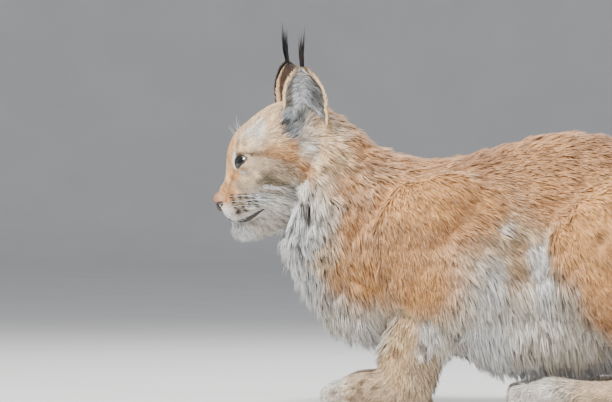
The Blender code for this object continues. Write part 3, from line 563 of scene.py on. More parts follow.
def tube(grid):
    """Closes a grid of rings into a body: two triangles a cell, and a fan from each end's middle."""
    rings, sides = grid.shape[:2]
    index = 1 + np.arange(rings * sides).reshape(rings, sides)
    turn = np.roll(index, -1, axis=1)
    cells = np.stack([index[:-1], turn[:-1], turn[1:], index[1:]], -1).reshape(-1, 4)
    last = rings * sides + 1
    first_fan = np.stack([np.zeros(sides, int), turn[0], index[0]], -1)
    last_fan = np.stack([np.full(sides, last), index[-1], turn[-1]], -1)
    points = np.vstack([grid[0].mean(0), grid.reshape(-1, 3), grid[-1].mean(0)])
    faces = np.vstack([first_fan, cells[:, [0, 1, 2]], cells[:, [0, 2, 3]], last_fan])
    return points, turned_out(points, faces)


def oval_rings(centres, ups, acrosses, sides):
    """Rings at centre + up sin t + across cos t, with round ends: rings that shrink as a quarter circle."""
    t = np.linspace(0, 2 * np.pi, sides, endpoint=False)[None, :, None]
    share = np.sin(np.linspace(0, np.pi / 2, 6))[1:-1]
    rows = [(centres, ups, acrosses)]
    for end, inner in ((0, 1), (-1, -2)):
        way = unit(centres[end] - centres[inner])
        reach = min(np.linalg.norm(ups[end]), np.linalg.norm(acrosses[end]))
        shrink = np.sqrt(1 - share**2)[:, None]
        cap = (centres[end] + way * reach * share[:, None], ups[end] * shrink, acrosses[end] * shrink)
        rows.insert(0 if end == 0 else 2, tuple(c[::-1] for c in cap) if end == 0 else cap)
    centres, ups, acrosses = (np.vstack([row[i] for row in rows]) for i in range(3))
    return centres[:, None] + ups[:, None] * np.sin(t) + acrosses[:, None] * np.cos(t)


def trunk(rings):
    """A loft of ovals, each from its highest to its lowest point, and as wide as is given."""
    rows = smooth_rows([(*top, *low, width) for top, low, width in rings], 4)
    nil = np.zeros(len(rows))
    top = np.column_stack([rows[:, 0], nil, rows[:, 1]])
    low = np.column_stack([rows[:, 2], nil, rows[:, 3]])
    across = np.column_stack([nil, rows[:, 4], nil])
    return tube(oval_rings((top + low) / 2, (top - low) / 2, across, 32))


def limb(stations, side=1, setback=0):
    """A loft of ovals that stand square to the curve through the stations."""
    rows = smooth_rows(stations, 4)
    centres = mirrored(rows[:, :3], side) + (setback, 0, 0)
    along = unit(np.gradient(centres, axis=0))
    across = unit((0.0, 1.0, 0.0) - along * along[:, 1:2])
    up = np.cross(along, across)
    return tube(oval_rings(centres, up * rows[:, 3:4], across * rows[:, 4:5], 20))


def ball(centre, radii, side=1, detail=18):
    """An oval ball: centre + radii times the point at each latitude and longitude of a unit sphere."""
    high = np.linspace(0, np.pi, detail + 2)[1:-1, None]
    turn = np.linspace(0, 2 * np.pi, 2 * detail, endpoint=False)[None]
    sphere = np.broadcast_arrays(np.sin(high) * np.cos(turn), np.sin(high) * np.sin(turn), np.cos(high))
    points, faces = tube(np.stack(sphere, -1))
    points[0], points[-1] = (0, 0, 1), (0, 0, -1)
    return points * radii + mirrored(centre, side), faces


def head_body():
    """The head's loft: smooth sections, mirrored, tipped down by the head's dip about the nose."""
    rows = smooth_rows([(back, *sum(half, ())) for back, half in HEAD_SECTIONS], 3)
    half = rows[:, 1:].reshape(len(rows), -1, 2)
    flip = np.array((-1, 1))
    rings = []
    for ring in half:
        fine = smooth_rows(np.vstack([ring[1] * flip, ring, ring[-2] * flip]), 3)[3:-3]
        rings.append(np.vstack([fine, (fine * flip)[-2:0:-1]]))
    rings = np.array(rings)
    back = np.broadcast_to(rows[:, :1], rings.shape[:2])
    x = back * math.cos(HEAD_DIP) - rings[..., 1] * math.sin(HEAD_DIP)
    z = back * math.sin(HEAD_DIP) + rings[..., 1] * math.cos(HEAD_DIP)
    return tube(np.stack([x, -rings[..., 0], z], -1))


def turn_matrix():
    """The head's turn to its left and its tilt: a turn about the upright, after one about the long axis."""
    a, b = HEAD_YAW, HEAD_ROLL
    yaw = np.array(((math.cos(a), -math.sin(a), 0), (math.sin(a), math.cos(a), 0), (0, 0, 1)))
    roll = np.array(((1, 0, 0), (0, math.cos(b), -math.sin(b)), (0, math.sin(b), math.cos(b))))
    return yaw @ roll


def on_the_neck(points):
    """Level points of the head, turned about the pivot and raised to the nose's height."""
    return (np.asarray(points, float) + (0, 0, NOSE_HEIGHT) - HEAD_PIVOT) @ turn_matrix().T + HEAD_PIVOT


def level(points):
    """The other way: points of the animal in the head's level frame."""
    return (np.asarray(points, float) - HEAD_PIVOT) @ turn_matrix() + HEAD_PIVOT - (0, 0, NOSE_HEIGHT)


def mirrored(points, side):
    """Points given on the left, on the left (1) or the right (-1)."""
    return np.asarray(points, float) * (1, -side, 1)


def folded(points):
    """Points with both sides laid on one: the sideways place made positive."""
    return points * (1, 0, 1) + np.abs(points[:, 1:2]) * (0, 1, 0)


eye_low, eye_high = (np.array(corner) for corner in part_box("eye_left"))
SHIFT = (eye_low + eye_high) / 2 - on_the_neck(mirrored(EYE_CENTRE, 1)) * MM


def joined(bodies):
    """Several bodies as one list of points and one of faces."""
    starts = np.cumsum([0] + [len(points) for points, _ in bodies])
    return np.vstack([b[0] for b in bodies]), np.vstack([b[1] + s for b, s in zip(bodies, starts)])


def mesh_of(name, points, faces, material=None):
    """A mesh piece from whole arrays of points, in the animal's frame, and of faces."""
    mesh = bpy.data.meshes.new(name)
    mesh.vertices.add(len(points))
    mesh.vertices.foreach_set("co", (points * MM + SHIFT).astype(np.float32).ravel())
    mesh.loops.add(faces.size)
    mesh.loops.foreach_set("vertex_index", faces.astype(np.int32).ravel())
    mesh.polygons.add(len(faces))
    mesh.polygons.foreach_set("loop_start", np.arange(0, faces.size, faces.shape[1], dtype=np.int32))
    mesh.update(calc_edges=True)
    mesh.shade_smooth()
    piece = bpy.data.objects.new(name, mesh)
    bpy.context.scene.collection.objects.link(piece)
    if material is not None:
        mesh.materials.append(material)
    return piece


def arrays_of(mesh):
    """The points of a mesh in the animal's frame, and its faces as triangles."""
    points = np.empty(len(mesh.vertices) * 3, np.float32)
    mesh.vertices.foreach_get("co", points)
    mesh.calc_loop_triangles()
    faces = np.empty(len(mesh.loop_triangles) * 3, np.int32)
    mesh.loop_triangles.foreach_get("vertices", faces)
    return (points.reshape(-1, 3).astype(float) - SHIFT) / MM, faces.reshape(-1, 3)


def softened(piece, rounds):
    """Each round moves every point half of the way to the mean of its neighbours."""
    smooth = piece.modifiers.new("soften", "SMOOTH")
    smooth.factor = 0.5
    smooth.iterations = rounds


def fused(bodies, fillet, grain, rounds, triangles=0):
    """The bodies as one skin: remeshed, swollen by the fillet, remeshed, shrunk back and smoothed, and then
    thinned to a number of triangles where one is given."""
    piece = mesh_of("fused", *joined(bodies))
    for reach in (0, fillet, -fillet):
        if reach:
            swell = piece.modifiers.new("swell", "DISPLACE")
            swell.strength = reach * MM
            swell.mid_level = 0
        remesh = piece.modifiers.new("fuse", "REMESH")
        remesh.mode = "VOXEL"
        remesh.voxel_size = grain * MM
        if reach >= 0:
            softened(piece, 3)
    softened(piece, rounds)
    if triangles:
        mesh = piece.evaluated_get(bpy.context.evaluated_depsgraph_get()).data
        thin = piece.modifiers.new("thin", "DECIMATE")
        thin.ratio = min(1, triangles / (2 * len(mesh.polygons)))
    mesh = piece.evaluated_get(bpy.context.evaluated_depsgraph_get()).to_mesh()
    result = arrays_of(mesh)
    bpy.data.objects.remove(piece)
    return result


def normals_of(points, faces):
    """Each point's normal: the sum of the area vectors of the triangles round it."""
    a, b, c = (points[faces[:, i]] for i in range(3))
    area = np.cross(b - a, c - a)
    total = np.stack([
        np.bincount(faces.ravel(), np.repeat(area[:, i], 3), len(points)) for i in range(3)
    ], -1)
    return unit(total)


# The coat's fields

def coat_table():
    """The places of the coat on both sides, all in the animal's frame, as arrays."""
    rows = []
    for side in (1, -1):
        for place, *numbers, way, colour in BODY_COAT:
            rows.append((mirrored(place, side), numbers, mirrored(way, side), colour))
        for place, *numbers, way, colour in HEAD_COAT:
            turned = turn_matrix() @ mirrored(way, side)
            rows.append((on_the_neck(mirrored(place, side)), numbers, turned, colour))
    places, numbers, ways, colours = (np.array([row[i] for row in rows], float) for i in range(4))
    return places, np.hstack([numbers, ways, linear(colours)])


def linear(colour):
    """Screen colour to light: ((c + 0.055) / 1.055) to the power 2.4."""
    return ((np.asarray(colour, float) + 0.055) / 1.055) ** 2.4


def read_table(points, table, columns, sharp):
    """Columns of the coat's table at the points: the mean of its rows, each weighed by its distance to a
    negative power."""
    places, values = table[0], table[1][:, columns]
    out = np.empty((len(points), values.shape[1]))
    for start in range(0, len(points), BATCH):
        part = points[start:start + BATCH]
        far = ((part[:, None] - places[None]) ** 2).sum(-1) + NEAREST**2
        weight = far ** (-sharp / 2)
        out[start:start + BATCH] = weight @ values / weight.sum(1, keepdims=True)
    return out


def nearness(points, line, width):
    """One on a line through the given places, falling to none at twice its half width."""
    line = np.asarray(line, float)
    a, b = (line[:-1], line[1:]) if len(line) > 1 else (line, line)
    step = b - a
    t = np.einsum("pld,ld->pl", points[:, None] - a[None], step) / np.maximum((step**2).sum(1), 1e-6)
    near = a[None] + np.clip(t, 0, 1)[..., None] * step[None]
    far = np.sqrt(((points[:, None] - near) ** 2).sum(-1)).min(1)
    return np.clip(2 - far / width, 0, 1)


def ripple(points, size, seed):
    """A smooth waver between -1 and 1: the mean of sines along eight random ways."""
    ways = np.random.default_rng(seed).normal(size=(8, 3)) / size
    phase = np.random.default_rng(seed + 1).uniform(0, 6.3, 8)
    return np.sin(points @ ways.T * 2.2 + phase).mean(1) * 1.8


def rippled(points, waves, base=0):
    """The base plus, for each wave, its strength times a waver of its size."""
    return sum((
        strength * ripple(points * (stretch, 1, 1), size, seed) for strength, stretch, size, seed in waves
    ), base)


def coat_colour(points, table):
    """The coat's colour: the table's, wavering a little and streaked on the head, then each marking over it,
    painted highlights and painted shade among them.
    """
    waver = np.stack([ripple(points, DRIFT_SIZE, seed) for seed in DRIFT_SEEDS], -1)
    colour = read_table(points + waver * DRIFT, table, PAINT, PAINT_SHARPNESS)
    colour *= rippled(points, SHADE_WAVES, 0.98)[:, None]
    at_head = level(points)
    near_head = at_head[:, 0] < HEAD_REACH
    here = folded(at_head[near_head])
    tint = colour[near_head] * rippled(here, STREAK_WAVES, 1)[:, None]
    dots = [((spot,), *WHISKER_DOT) for spot in WHISKER_SPOTS]
    for line, width, paint, strength in (*HEAD_MARKS_AND_PAINTED_SHADE, *dots):
        amount = nearness(here, line, width)[:, None] * strength
        tint = tint * (1 - amount) + linear(paint) * amount
    colour[near_head] = tint
    here = folded(points)
    spots = [((spot,), radius, *SPOT_AND_CREASE_SHADE_PAINT) for spot, radius in BODY_SPOTS]
    # The creases between toes get painted shade in the same brown.
    spots += [(line, CREASE_SHADE_WIDTH, *SPOT_AND_CREASE_SHADE_PAINT) for line in TOE_CREASES]
    for line, width, paint, strength in (*BODY_MARKS_AND_PAINTED_LIGHT, *spots):
        low, high = np.min(line, axis=0) - 2 * width, np.max(line, axis=0) + 2 * width
        close = np.flatnonzero(((here > low) & (here < high)).all(1))
        amount = nearness(here[close] + waver[close] * 2, line, width)[:, None] * strength
        colour[close] = colour[close] * (1 - amount) + linear(paint) * amount
    return colour


# Tufts

def sample(points, faces, normals, fields, rng):
    """Random roots of all the tufts, each triangle's share being its area, in square centimetres, times the
    density there: places, normals and fields, each mixed from the triangle's corners."""
    a, b, c = (points[faces[:, i]] for i in range(3))
    area = np.linalg.norm(np.cross(b - a, c - a), axis=1) / 200
    share = area * fields[faces, DENSITY].mean(1)
    chosen = rng.choice(len(faces), TUFTS, p=share / share.sum())
    u, v = rng.uniform(size=(2, TUFTS))
    over = u + v > 1
    u[over], v[over] = 1 - u[over], 1 - v[over]
    mix = np.stack([1 - u - v, u, v], -1)
    corner = faces[chosen]
    spot, normal, field = (np.einsum("tk,tkd->td", mix, every[corner]) for every in (points, normals, fields))
    return spot, unit(normal), field


def flat_tufts(roots, ways, normals, length, width, lift, gravity, rng, rings):
    """Closed, flat, tapered blades. Each ring is a triangle across the blade, on a curve of the second degree
    that leaves the skin more steeply than the lift and ends flatter, drawn down by its weight. The last point
    is the tip."""
    count = len(roots)
    lie = unit(ways - normals * np.sum(ways * normals, 1, keepdims=True))
    swing = (rng.normal(0, SWING, count) * np.clip(lift / 12, 0.15, 1))[:, None]
    lie = unit(lie * np.cos(swing) + np.cross(normals, lie) * np.sin(swing))
    lift = np.radians(lift * rng.uniform(0.75, 1.25, count))[:, None]
    rise, fall = lift + RISE, lift - FALL
    start = lie * np.cos(rise) + normals * np.sin(rise)
    end = unit(lie * np.cos(fall) + normals * np.sin(fall) + np.array((0, 0, -1.0)) * gravity[:, None])
    size = (length * rng.uniform(0.72, 1.15, count))[:, None]
    base = roots - normals * 1.0
    middle = base + start * size * 0.5
    tip = middle + end * size * 0.5
    side = unit(np.cross(normals, lie))
    rows = []
    for share, wide in rings:
        here = base * (1 - share) ** 2 + middle * 2 * share * (1 - share) + tip * share**2
        half = side * (width * wide / 2)[:, None]
        rows += [here - half, here + half, here + normals * (width * wide * 0.4)[:, None]]
    return np.stack(rows + [tip], 1)


def tuft_faces(rings):
    """The triangles of one blade of some rings and a tip, closed at its root."""
    faces = [(0, 1, 2)]
    for first in range(0, 3 * (rings - 1), 3):
        for i, j in ((0, 1), (1, 2), (2, 0)):
            faces += [(first + i, first + 3 + i, first + 3 + j), (first + i, first + 3 + j, first + j)]
    last = 3 * (rings - 1)
    faces += [(last + i, 3 * rings, last + j) for i, j in ((0, 1), (1, 2), (2, 0))]
    return np.array(faces)


def clumped(blades, rng, size, pull):
    """Tips drawn together: each blade's points move towards its clump's by the pull, more at the tip, and by
    no more than half of the blade's length."""
    roots, tips = blades[:, 0], blades[:, -1]
    seeds = rng.choice(len(roots), max(1, int(len(roots) / size)), replace=False)
    tree = KDTree(len(seeds))
    for i, seed in enumerate(seeds):
        tree.insert(roots[seed], i)
    tree.balance()
    nearest = np.array([tree.find(root)[1] for root in roots])
    change = (tips[seeds[nearest]] - roots[seeds[nearest]]) - (tips - roots)
    change += (roots[seeds[nearest]] - roots) * 0.8
    reach = np.linalg.norm(tips - roots, axis=1, keepdims=True)
    change *= np.minimum(1, 0.5 * reach / np.maximum(np.linalg.norm(change, axis=1, keepdims=True), 1e-6))
    share = np.linspace(0, 1, (blades.shape[1] - 1) // 3 + 1)
    weight = np.append(np.repeat(share[:-1], 3), 1.0)[None, :, None] ** 1.3
    return blades + change[:, None] * weight * pull[:, None, None]


def tuft_piece(name, blades, colours, patches, material, outs):
    """One piece of coat: closed blades, kept off the floor and drawn in at the sides, with normals that lean
    to the skin's, a colour at each point, and a small patch of the unwrap for each blade."""
    rings = (blades.shape[1] - 1) // 3
    faces = tuft_faces(rings)
    count, points = blades.shape[:2]
    a, b, c = (blades[:, faces[:, i]] for i in range(3))
    volume = np.sum((a - blades[:, :1]) * np.cross(b - blades[:, :1], c - blades[:, :1]), axis=(1, 2))
    every = np.where((volume < 0)[:, None, None], faces[None, :, ::-1], faces[None])
    every = (every + points * np.arange(count)[:, None, None]).reshape(-1, 3)
    blades[..., 2] = np.maximum(blades[..., 2], HAIR_FLOOR)
    wide = np.abs(blades[..., 1])
    drawn_in = np.where(wide > SIDE_LIMIT, SIDE_LIMIT + (wide - SIDE_LIMIT) * SIDE_SHARE, wide)
    blades[..., 1] = np.sign(blades[..., 1]) * drawn_in
    piece = mesh_of(name, blades.reshape(-1, 3), every, material)
    lit = unit(outs[:, None] * 1.1 + unit(blades - blades.mean(1, keepdims=True)) * 0.5)
    piece.data.normals_split_custom_set_from_vertices(lit.reshape(-1, 3).astype(np.float32))
    paint = piece.data.attributes.new("coat", "FLOAT_COLOR", "POINT")
    full = np.concatenate([colours, np.ones((count, points, 1))], -1)
    paint.data.foreach_set("color", full.astype(np.float32).ravel())
    spread = np.zeros((points, 2))
    turn = np.array((0, 2.1, 4.2))
    for ring in range(rings):
        radius = PATCH * (1 - 0.55 * ring / rings)
        spread[3 * ring:3 * ring + 3] = np.stack([np.cos(turn + ring), np.sin(turn + ring)], -1) * radius
    where = (patches[:, None] + spread[None]).reshape(-1, 2)
    layer = piece.data.uv_layers.new(name="OFBake")
    layer.data.foreach_set("uv", where[every.ravel()].astype(np.float32).ravel())
    return piece


# The parts of the coat: name, the line through the middle, by how much a distance to it counts, whether there
# is one on each side, and whether it is on the head.
STRIPS = (
    ("coat_head", ((0, 0, 10), (60, 0, 30), (130, 0, 50), (200, 0, 70)), 0.95, False, True),
    ("coat_neck", ((150, 0, 350), (180, 0, 310), (230, 0, 285)), 0.9, False, False),
    ("coat_chest", ((250, 0, 270), (330, 0, 240), (390, 0, 235)), 0.9, False, False),
    ("coat_loins", ((430, 0, 240), (520, 0, 240), (620, 0, 240), (740, 0, 240)), 0.9, False, False),
    ("coat_tail", ((770, 0, 265), (825, 0, 215), (842, 0, 110)), 1.0, False, False),
    ("coat_foreleg", ((290, 90, 220), (300, 78, 130), (275, 69, 60), (270, 69, 30), (190, 69, 25)), 1.5,
     True, False),
    ("coat_hindleg", ((600, 110, 240), (560, 110, 180), (610, 102, 100), (645, 95, 40), (460, 94, 22)), 1.4,
     True, False),
)


def strip_places(points):
    """For each point the strip whose line is nearest, and its place on the unwrap, where each strip has a row
    and a point lies in it by how far along the line and how far round it is. Then the names of the strips."""
    each = np.arange(len(points))
    best = np.full(len(points), np.inf)
    chosen = np.zeros(len(points), int)
    where = np.zeros((len(points), 2))
    names = []
    for name, line, weight, paired, on_head in STRIPS:
        for side in (1, -1) if paired else (1,):
            path = mirrored(line, side)
            if on_head:
                path = on_the_neck(path)
            fine = smooth_rows(path, 6)
            gap = points[:, None] - fine[None]
            far = np.linalg.norm(gap, axis=-1)
            near = far.argmin(1)
            away = far[each, near] * weight
            closer = away < best
            best = np.where(closer, away, best)
            index = len(names)
            off = gap[each, near]
            along = unit(np.gradient(fine, axis=0))[near]
            across = unit((0.0, 1.0, 0.0) - along * along[:, 1:2])
            turn = np.arctan2(np.sum(off * np.cross(along, across), 1), np.sum(off * across, 1))
            step = near / (len(fine) - 1) + np.sum(off * along, 1) / ROW_LENGTH
            row = (index + ROW_MARGIN + ROW_SPAN * (turn / FULL_TURN + 0.5)) / STRIP_ROWS
            spot = np.stack([STRIP_MARGIN + STRIP_SPAN * np.clip(step, 0, 1), row], -1)
            where = np.where(closer[:, None], spot, where)
            chosen = np.where(closer, index, chosen)
            names.append(name + {1: "_left", -1: "_right"}[side] if paired else name)
    return chosen, where, names


def tuft_colours(colour, length, rng, points):
    """A colour at each point of each blade: the coat's, darker at the root as painted shade deep in the coat,
    paler or darker at the tip, and there often frosted with cream, more on pale and on long hair."""
    count = len(colour)
    shade = np.clip(rng.normal(0.97, TUFT_SPREAD, count), 0.4, 1.6)[:, None, None]
    pale = rng.uniform(size=count) < PALE_TIPS
    tip = np.where(pale, rng.uniform(1.2, 1.65, count), rng.uniform(0.74, 1.06, count))[:, None, None]
    frost = np.where(rng.uniform(size=count) < FROSTED, rng.uniform(0.1, 0.5, count), 0)
    frost = frost * np.clip(length / 20, 0.2, 1) * np.clip(colour.mean(1) * 4 - 0.3, 0, 1)
    along = np.linspace(0, 1, points)[None, :, None]
    outer_half = np.clip(along * 2 - 1, 0, 1)
    # Towards the root each blade is darker: painted shade deep in the coat.
    grade = (ROOT_PAINTED_SHADE + ROOT_RISE * np.minimum(1, along * 2)) * (1 + (tip - 1) * outer_half)
    frost = frost[:, None, None] * outer_half
    grade, frost = (np.concatenate([np.repeat(v[:, :-1], 3, axis=1), v[:, -1:]], axis=1) for v in (grade, frost))
    hair = colour[:, None] * grade * shade
    return np.clip(hair * (1 - frost) + linear(CREAM) * frost, 0.004, 0.95)


# Finishes

class Socket:
    """A node's socket that takes part in sums: each operator adds one Math node."""

    def __init__(self, shader, link):
        self.shader = shader
        self.link = link

    def _math(self, operation, *values):
        return self.shader.add("ShaderNodeMath", {"operation": operation}, *values)

    def __add__(self, other):
        return self._math("ADD", self, other)

    __radd__ = __add__

    def __mul__(self, other):
        return self._math("MULTIPLY", self, other)

    __rmul__ = __mul__

    def __sub__(self, other):
        return self._math("SUBTRACT", self, other)

    def __rsub__(self, other):
        return self._math("SUBTRACT", other, self)


class Finish:
    """A material, with its shader's fixed numbers set by name, and nodes that are added one by one."""

    def __init__(self, name, **numbers):
        self.material = bpy.data.materials.new(name)
        self.material.use_nodes = True
        self.tree = self.material.node_tree
        self.shader = self.tree.nodes["Principled BSDF"]
        for key, value in numbers.items():
            self.shader.inputs[key.replace("_", " ")].default_value = value

    def add(self, kind, settings=None, *values, out=0, **named):
        """A node of the kind, with its settings, and the values or links of its sockets in order or by name."""
        node = self.tree.nodes.new(kind)
        for key, value in (settings or {}).items():
            if key == "stops":
                ramp = node.color_ramp
                while len(ramp.elements) < len(value):
                    ramp.elements.new(0.5)
                for element, (place, colour) in zip(ramp.elements, value):
                    element.position = place
                    element.color = (*colour, 1)
            else:
                setattr(node, key, value)
        pairs = list(enumerate(values)) + list(named.items())
        for key, value in pairs:
            socket = node.inputs[key if isinstance(key, int) else key.replace("_", " ")]
            if isinstance(value, Socket):
                self.tree.links.new(value.link, socket)
            else:
                socket.default_value = value
        return Socket(self, node.outputs[out])

    def place(self):
        """Where a point of the surface is."""
        return self.add("ShaderNodeTexCoord", None, out="Object")

    def noise(self, scale, detail=2.0):
        """A noise over the surface, between 0 and 1."""
        return self.add("ShaderNodeTexNoise", None, Vector=self.place(), Scale=scale, Detail=detail)

    def feed(self, name, value):
        """Links a value to the shader's socket of that name."""
        self.tree.links.new(value.link, self.shader.inputs[name])
        return self

    def paint(self, pattern, low, gain):
        """The base colour: the piece's painted colour times low plus gain times the pattern."""
        coat = self.add("ShaderNodeAttribute", {"attribute_name": "coat"})
        shade = low + pattern * gain
        tint = self.add("ShaderNodeVectorMath", {"operation": "SCALE"}, coat, Scale=shade)
        return self.feed("Base Color", tint)

    def ramp(self, pattern, *stops):
        """The base colour: read off a ramp of colours at the pattern's value."""
        return self.feed("Base Color", self.add("ShaderNodeValToRGB", {"stops": stops}, pattern))

    def bump(self, height, strength, distance):
        """A bump of the given height, strength and depth in metres."""
        ridge = self.add("ShaderNodeBump", None, Strength=strength, Distance=distance, Height=height)
        return self.feed("Normal", ridge)


def hair_finish(name, strength):
    """Hair: the painted colour times a fine noise, and a bump of the same noise."""
    finish = Finish(name, Roughness=0.72, Specular_IOR_Level=0.22, Sheen_Weight=0.12, Sheen_Roughness=0.5)
    grain = finish.noise(420, 3.0)
    return finish.paint(grain, 0.80, 0.40).bump(grain, strength, 0.0008).material


def nose_finish():
    """Nose leather: the painted colour, over small cobbles that a bump raises."""
    finish = Finish("nose_leather", Roughness=0.42, Coat_Weight=0.15, Coat_Roughness=0.3)
    cobbles = finish.add("ShaderNodeTexVoronoi", None, Vector=finish.place(), Scale=900)
    return finish.paint(cobbles, 0.86, 0.22).bump(cobbles, 0.55, 0.0006).material


def lid_finish():
    """Bare dark skin of lids and lips, creased by a noise."""
    finish = Finish("lid_skin", Roughness=0.38, Coat_Weight=0.25, Coat_Roughness=0.25)
    grain = finish.noise(600, 4.0)
    finish.ramp(grain, (0.3, (0.006, 0.005, 0.005)), (0.7, (0.03, 0.022, 0.018)))
    return finish.bump(grain, 0.4, 0.0004).material


def whisker_finish():
    """Pale stiff hair, mottled by a noise."""
    finish = Finish("whisker", Roughness=0.35)
    return finish.ramp(finish.noise(300), (0.3, (0.62, 0.60, 0.56)), (0.7, (0.85, 0.84, 0.80))).material


def eye_finish(name, centre, gaze):
    """The eye: the cosine of the angle from where it looks picks pupil, iris and dark rim, and the iris is
    streaked by a noise."""
    finish = Finish(name, Roughness=0.12, Coat_Weight=1.0, Coat_Roughness=0.02, Coat_IOR=1.38)
    middle = tuple(centre * MM + SHIFT)
    away = finish.add("ShaderNodeVectorMath", {"operation": "SUBTRACT"}, finish.place(), middle)
    away = finish.add("ShaderNodeVectorMath", {"operation": "NORMALIZE"}, away)
    facing = finish.add("ShaderNodeVectorMath", {"operation": "DOT_PRODUCT"}, away, tuple(gaze), out="Value")
    reading = facing + (finish.noise(700, 4.0) - 0.5) * 0.03
    rim = ((0.60, (0.004, 0.003, 0.003)), (0.66, (0.08, 0.045, 0.012)))
    amber = ((0.71, (0.46, 0.32, 0.09)), (0.77, (0.32, 0.20, 0.05)))
    pupil = ((0.815, (0.10, 0.06, 0.02)), (0.835, (0.002, 0.002, 0.002)))
    return finish.ramp(reading, *rim, *amber, *pupil).material


def stage_finish():
    """The pale floor, barely mottled."""
    finish = Finish("pale_floor", Roughness=0.9)
    return finish.ramp(finish.noise(3), (0.3, (0.70, 0.69, 0.67)), (0.7, (0.74, 0.73, 0.71))).material


HAIR = hair_finish("coat", 0.3)
SKIN = hair_finish("skin", 0.7)
NOSE = nose_finish()
LID = lid_finish()
WHISKER = whisker_finish()


def painted(piece, colours):
    """Gives each point of a piece its colour."""
    paint = piece.data.attributes.new("coat", "FLOAT_COLOR", "POINT")
    full = np.hstack([np.clip(colours, 0, 0.95), np.ones((len(colours), 1))])
    paint.data.foreach_set("color", full.astype(np.float32).ravel())
    return piece


# The face

def eye_frame(side):
    """The eye's middle, where it looks, and the ways out and up of its slanting opening, level."""
    gaze = unit(mirrored(GAZE, side))
    out = unit(np.cross(gaze, (0, 0, 1.0)))
    if out[1] * side > 0:
        out = -out
    up = np.cross(gaze, out)
    up = up if up[2] > 0 else -up
    slant_out = out * math.cos(EYE_SLANT) + up * math.sin(EYE_SLANT)
    slant_up = up * math.cos(EYE_SLANT) - out * math.sin(EYE_SLANT)
    return mirrored(EYE_SEEN, side), gaze, slant_out, slant_up


def opening_reach(points, side):
    """How far points lie from the middle of the eye's opening, one being at the edge of the lids."""
    middle, gaze, out, up = eye_frame(side)
    away = unit(points - middle)
    ahead = away @ gaze
    wide = (away @ out) / np.maximum(ahead, 0.05) / (EYE_OPENING[0] / EYE_RADIUS)
    high = (away @ up) / np.maximum(ahead, 0.05)
    high = high / np.where(high > 0, EYE_OPENING[1], EYE_OPENING[2]) * EYE_RADIUS
    reach = np.hypot(wide, high * (1 + 0.25 * wide**2))
    return np.where(ahead > 0.1, reach, 9.0)


def lids(side):
    """A ring round the opening: its profile, reach against radius from the eye's middle, carried round it."""
    middle, gaze, out, up = eye_frame(side)
    profile = np.array((
        (1.10, 14.1), (1.00, 14.2), (0.97, 14.5), (0.98, 15.0), (1.03, 15.4), (1.12, 15.7), (1.28, 15.9),
        (1.5, 15.8), (1.8, 15.3), (2.0, 14.4), (1.6, 14.1), (1.3, 14.1),
    ))
    t = np.linspace(0, 2 * np.pi, 72, endpoint=False)[:, None]
    shape_wide = np.cos(t) * EYE_OPENING[0] / EYE_RADIUS
    lid = np.where(np.sin(t) > 0, EYE_OPENING[1], EYE_OPENING[2])
    shape_high = np.sin(t) * np.abs(np.sin(t)) ** 0.45 * lid / EYE_RADIUS
    reach, radius = profile[:, 0][None], profile[:, 1][None]
    way = gaze + out * (shape_wide * reach)[..., None] + up * (shape_high * reach)[..., None]
    grid = middle + unit(way) * radius[..., None]
    rings, sides = grid.shape[:2]
    index = np.arange(rings * sides).reshape(rings, sides)
    turn, on = np.roll(index, -1, axis=1), np.roll(index, -1, axis=0)
    both = np.roll(turn, -1, axis=0)
    faces = np.vstack([
        np.stack(corners, -1).reshape(-1, 3) for corners in ((index, turn, both), (index, both, on))
    ])
    points = grid.reshape(-1, 3)
    return points, turned_out(points, faces)


def nose_piece():
    """The nose leather: fused balls, with a comma of a nostril sunk in each side and a groove between them.
    It is pink above and dark below, with painted shade in the nostrils and in the groove."""
    points, faces = fused([ball(c, r) for c, r in NOSE_BALLS], 4.5, 0.7, 10)
    dark = np.zeros(len(points))
    for side in (1, -1):
        pit, tail = (
            np.linalg.norm((points - mirrored(centre, side)) / np.array(radii), axis=1)
            for centre, radii in (NOSTRIL, NOSTRIL_TAIL)
        )
        deep, tail = np.clip(1.25 - pit, 0, 1), np.clip(1.2 - tail, 0, 1)
        points = points + mirrored((1, -0.5, 0.1), side) * (4.5 * deep + 2.0 * tail)[:, None]
        # The nostrils are painted dark: painted shade in their depth.
        dark = np.maximum(dark, np.maximum(deep, tail) * 1.4)
    groove = np.exp(-(points[:, 1] / 0.9) ** 2) * (points[:, 2] < 6) * (points[:, 0] < 12)
    points = points + np.array((1, 0, 0)) * groove[:, None] * 1.1
    # The groove gets painted shade too, and the leather is darker below.
    dark = np.clip(dark + 0.5 * groove + np.clip((5.5 - points[:, 2]) / 5, 0, 0.92), 0, 1)[:, None]
    pink = linear((0.68, 0.48, 0.36))
    colour = pink * (1 - dark) + linear((0.15, 0.09, 0.075)) * dark
    piece = mesh_of("nose_leather", on_the_neck(points), faces, NOSE)
    return painted(piece, colour)


def mouth_path(tree):
    """Points just off the skin along the mouth: rays towards an upright axis, at heights read off the table."""
    turns, heights = np.array(MOUTH, float).T
    path = []
    for turn in np.linspace(-turns[-1], turns[-1], 41):
        a = math.radians(turn)
        ahead = np.array((-math.cos(a), math.sin(a), 0))
        middle = np.array((MOUTH_AXIS, 0, np.interp(abs(turn), turns, heights)))
        start = on_the_neck(middle + ahead * 200)
        hit = tree.ray_cast(Vector(start), Vector(turn_matrix() @ -ahead))[0]
        path.append(level(np.array(hit)) + ahead * LIP_PROUD)
    return np.array(path)


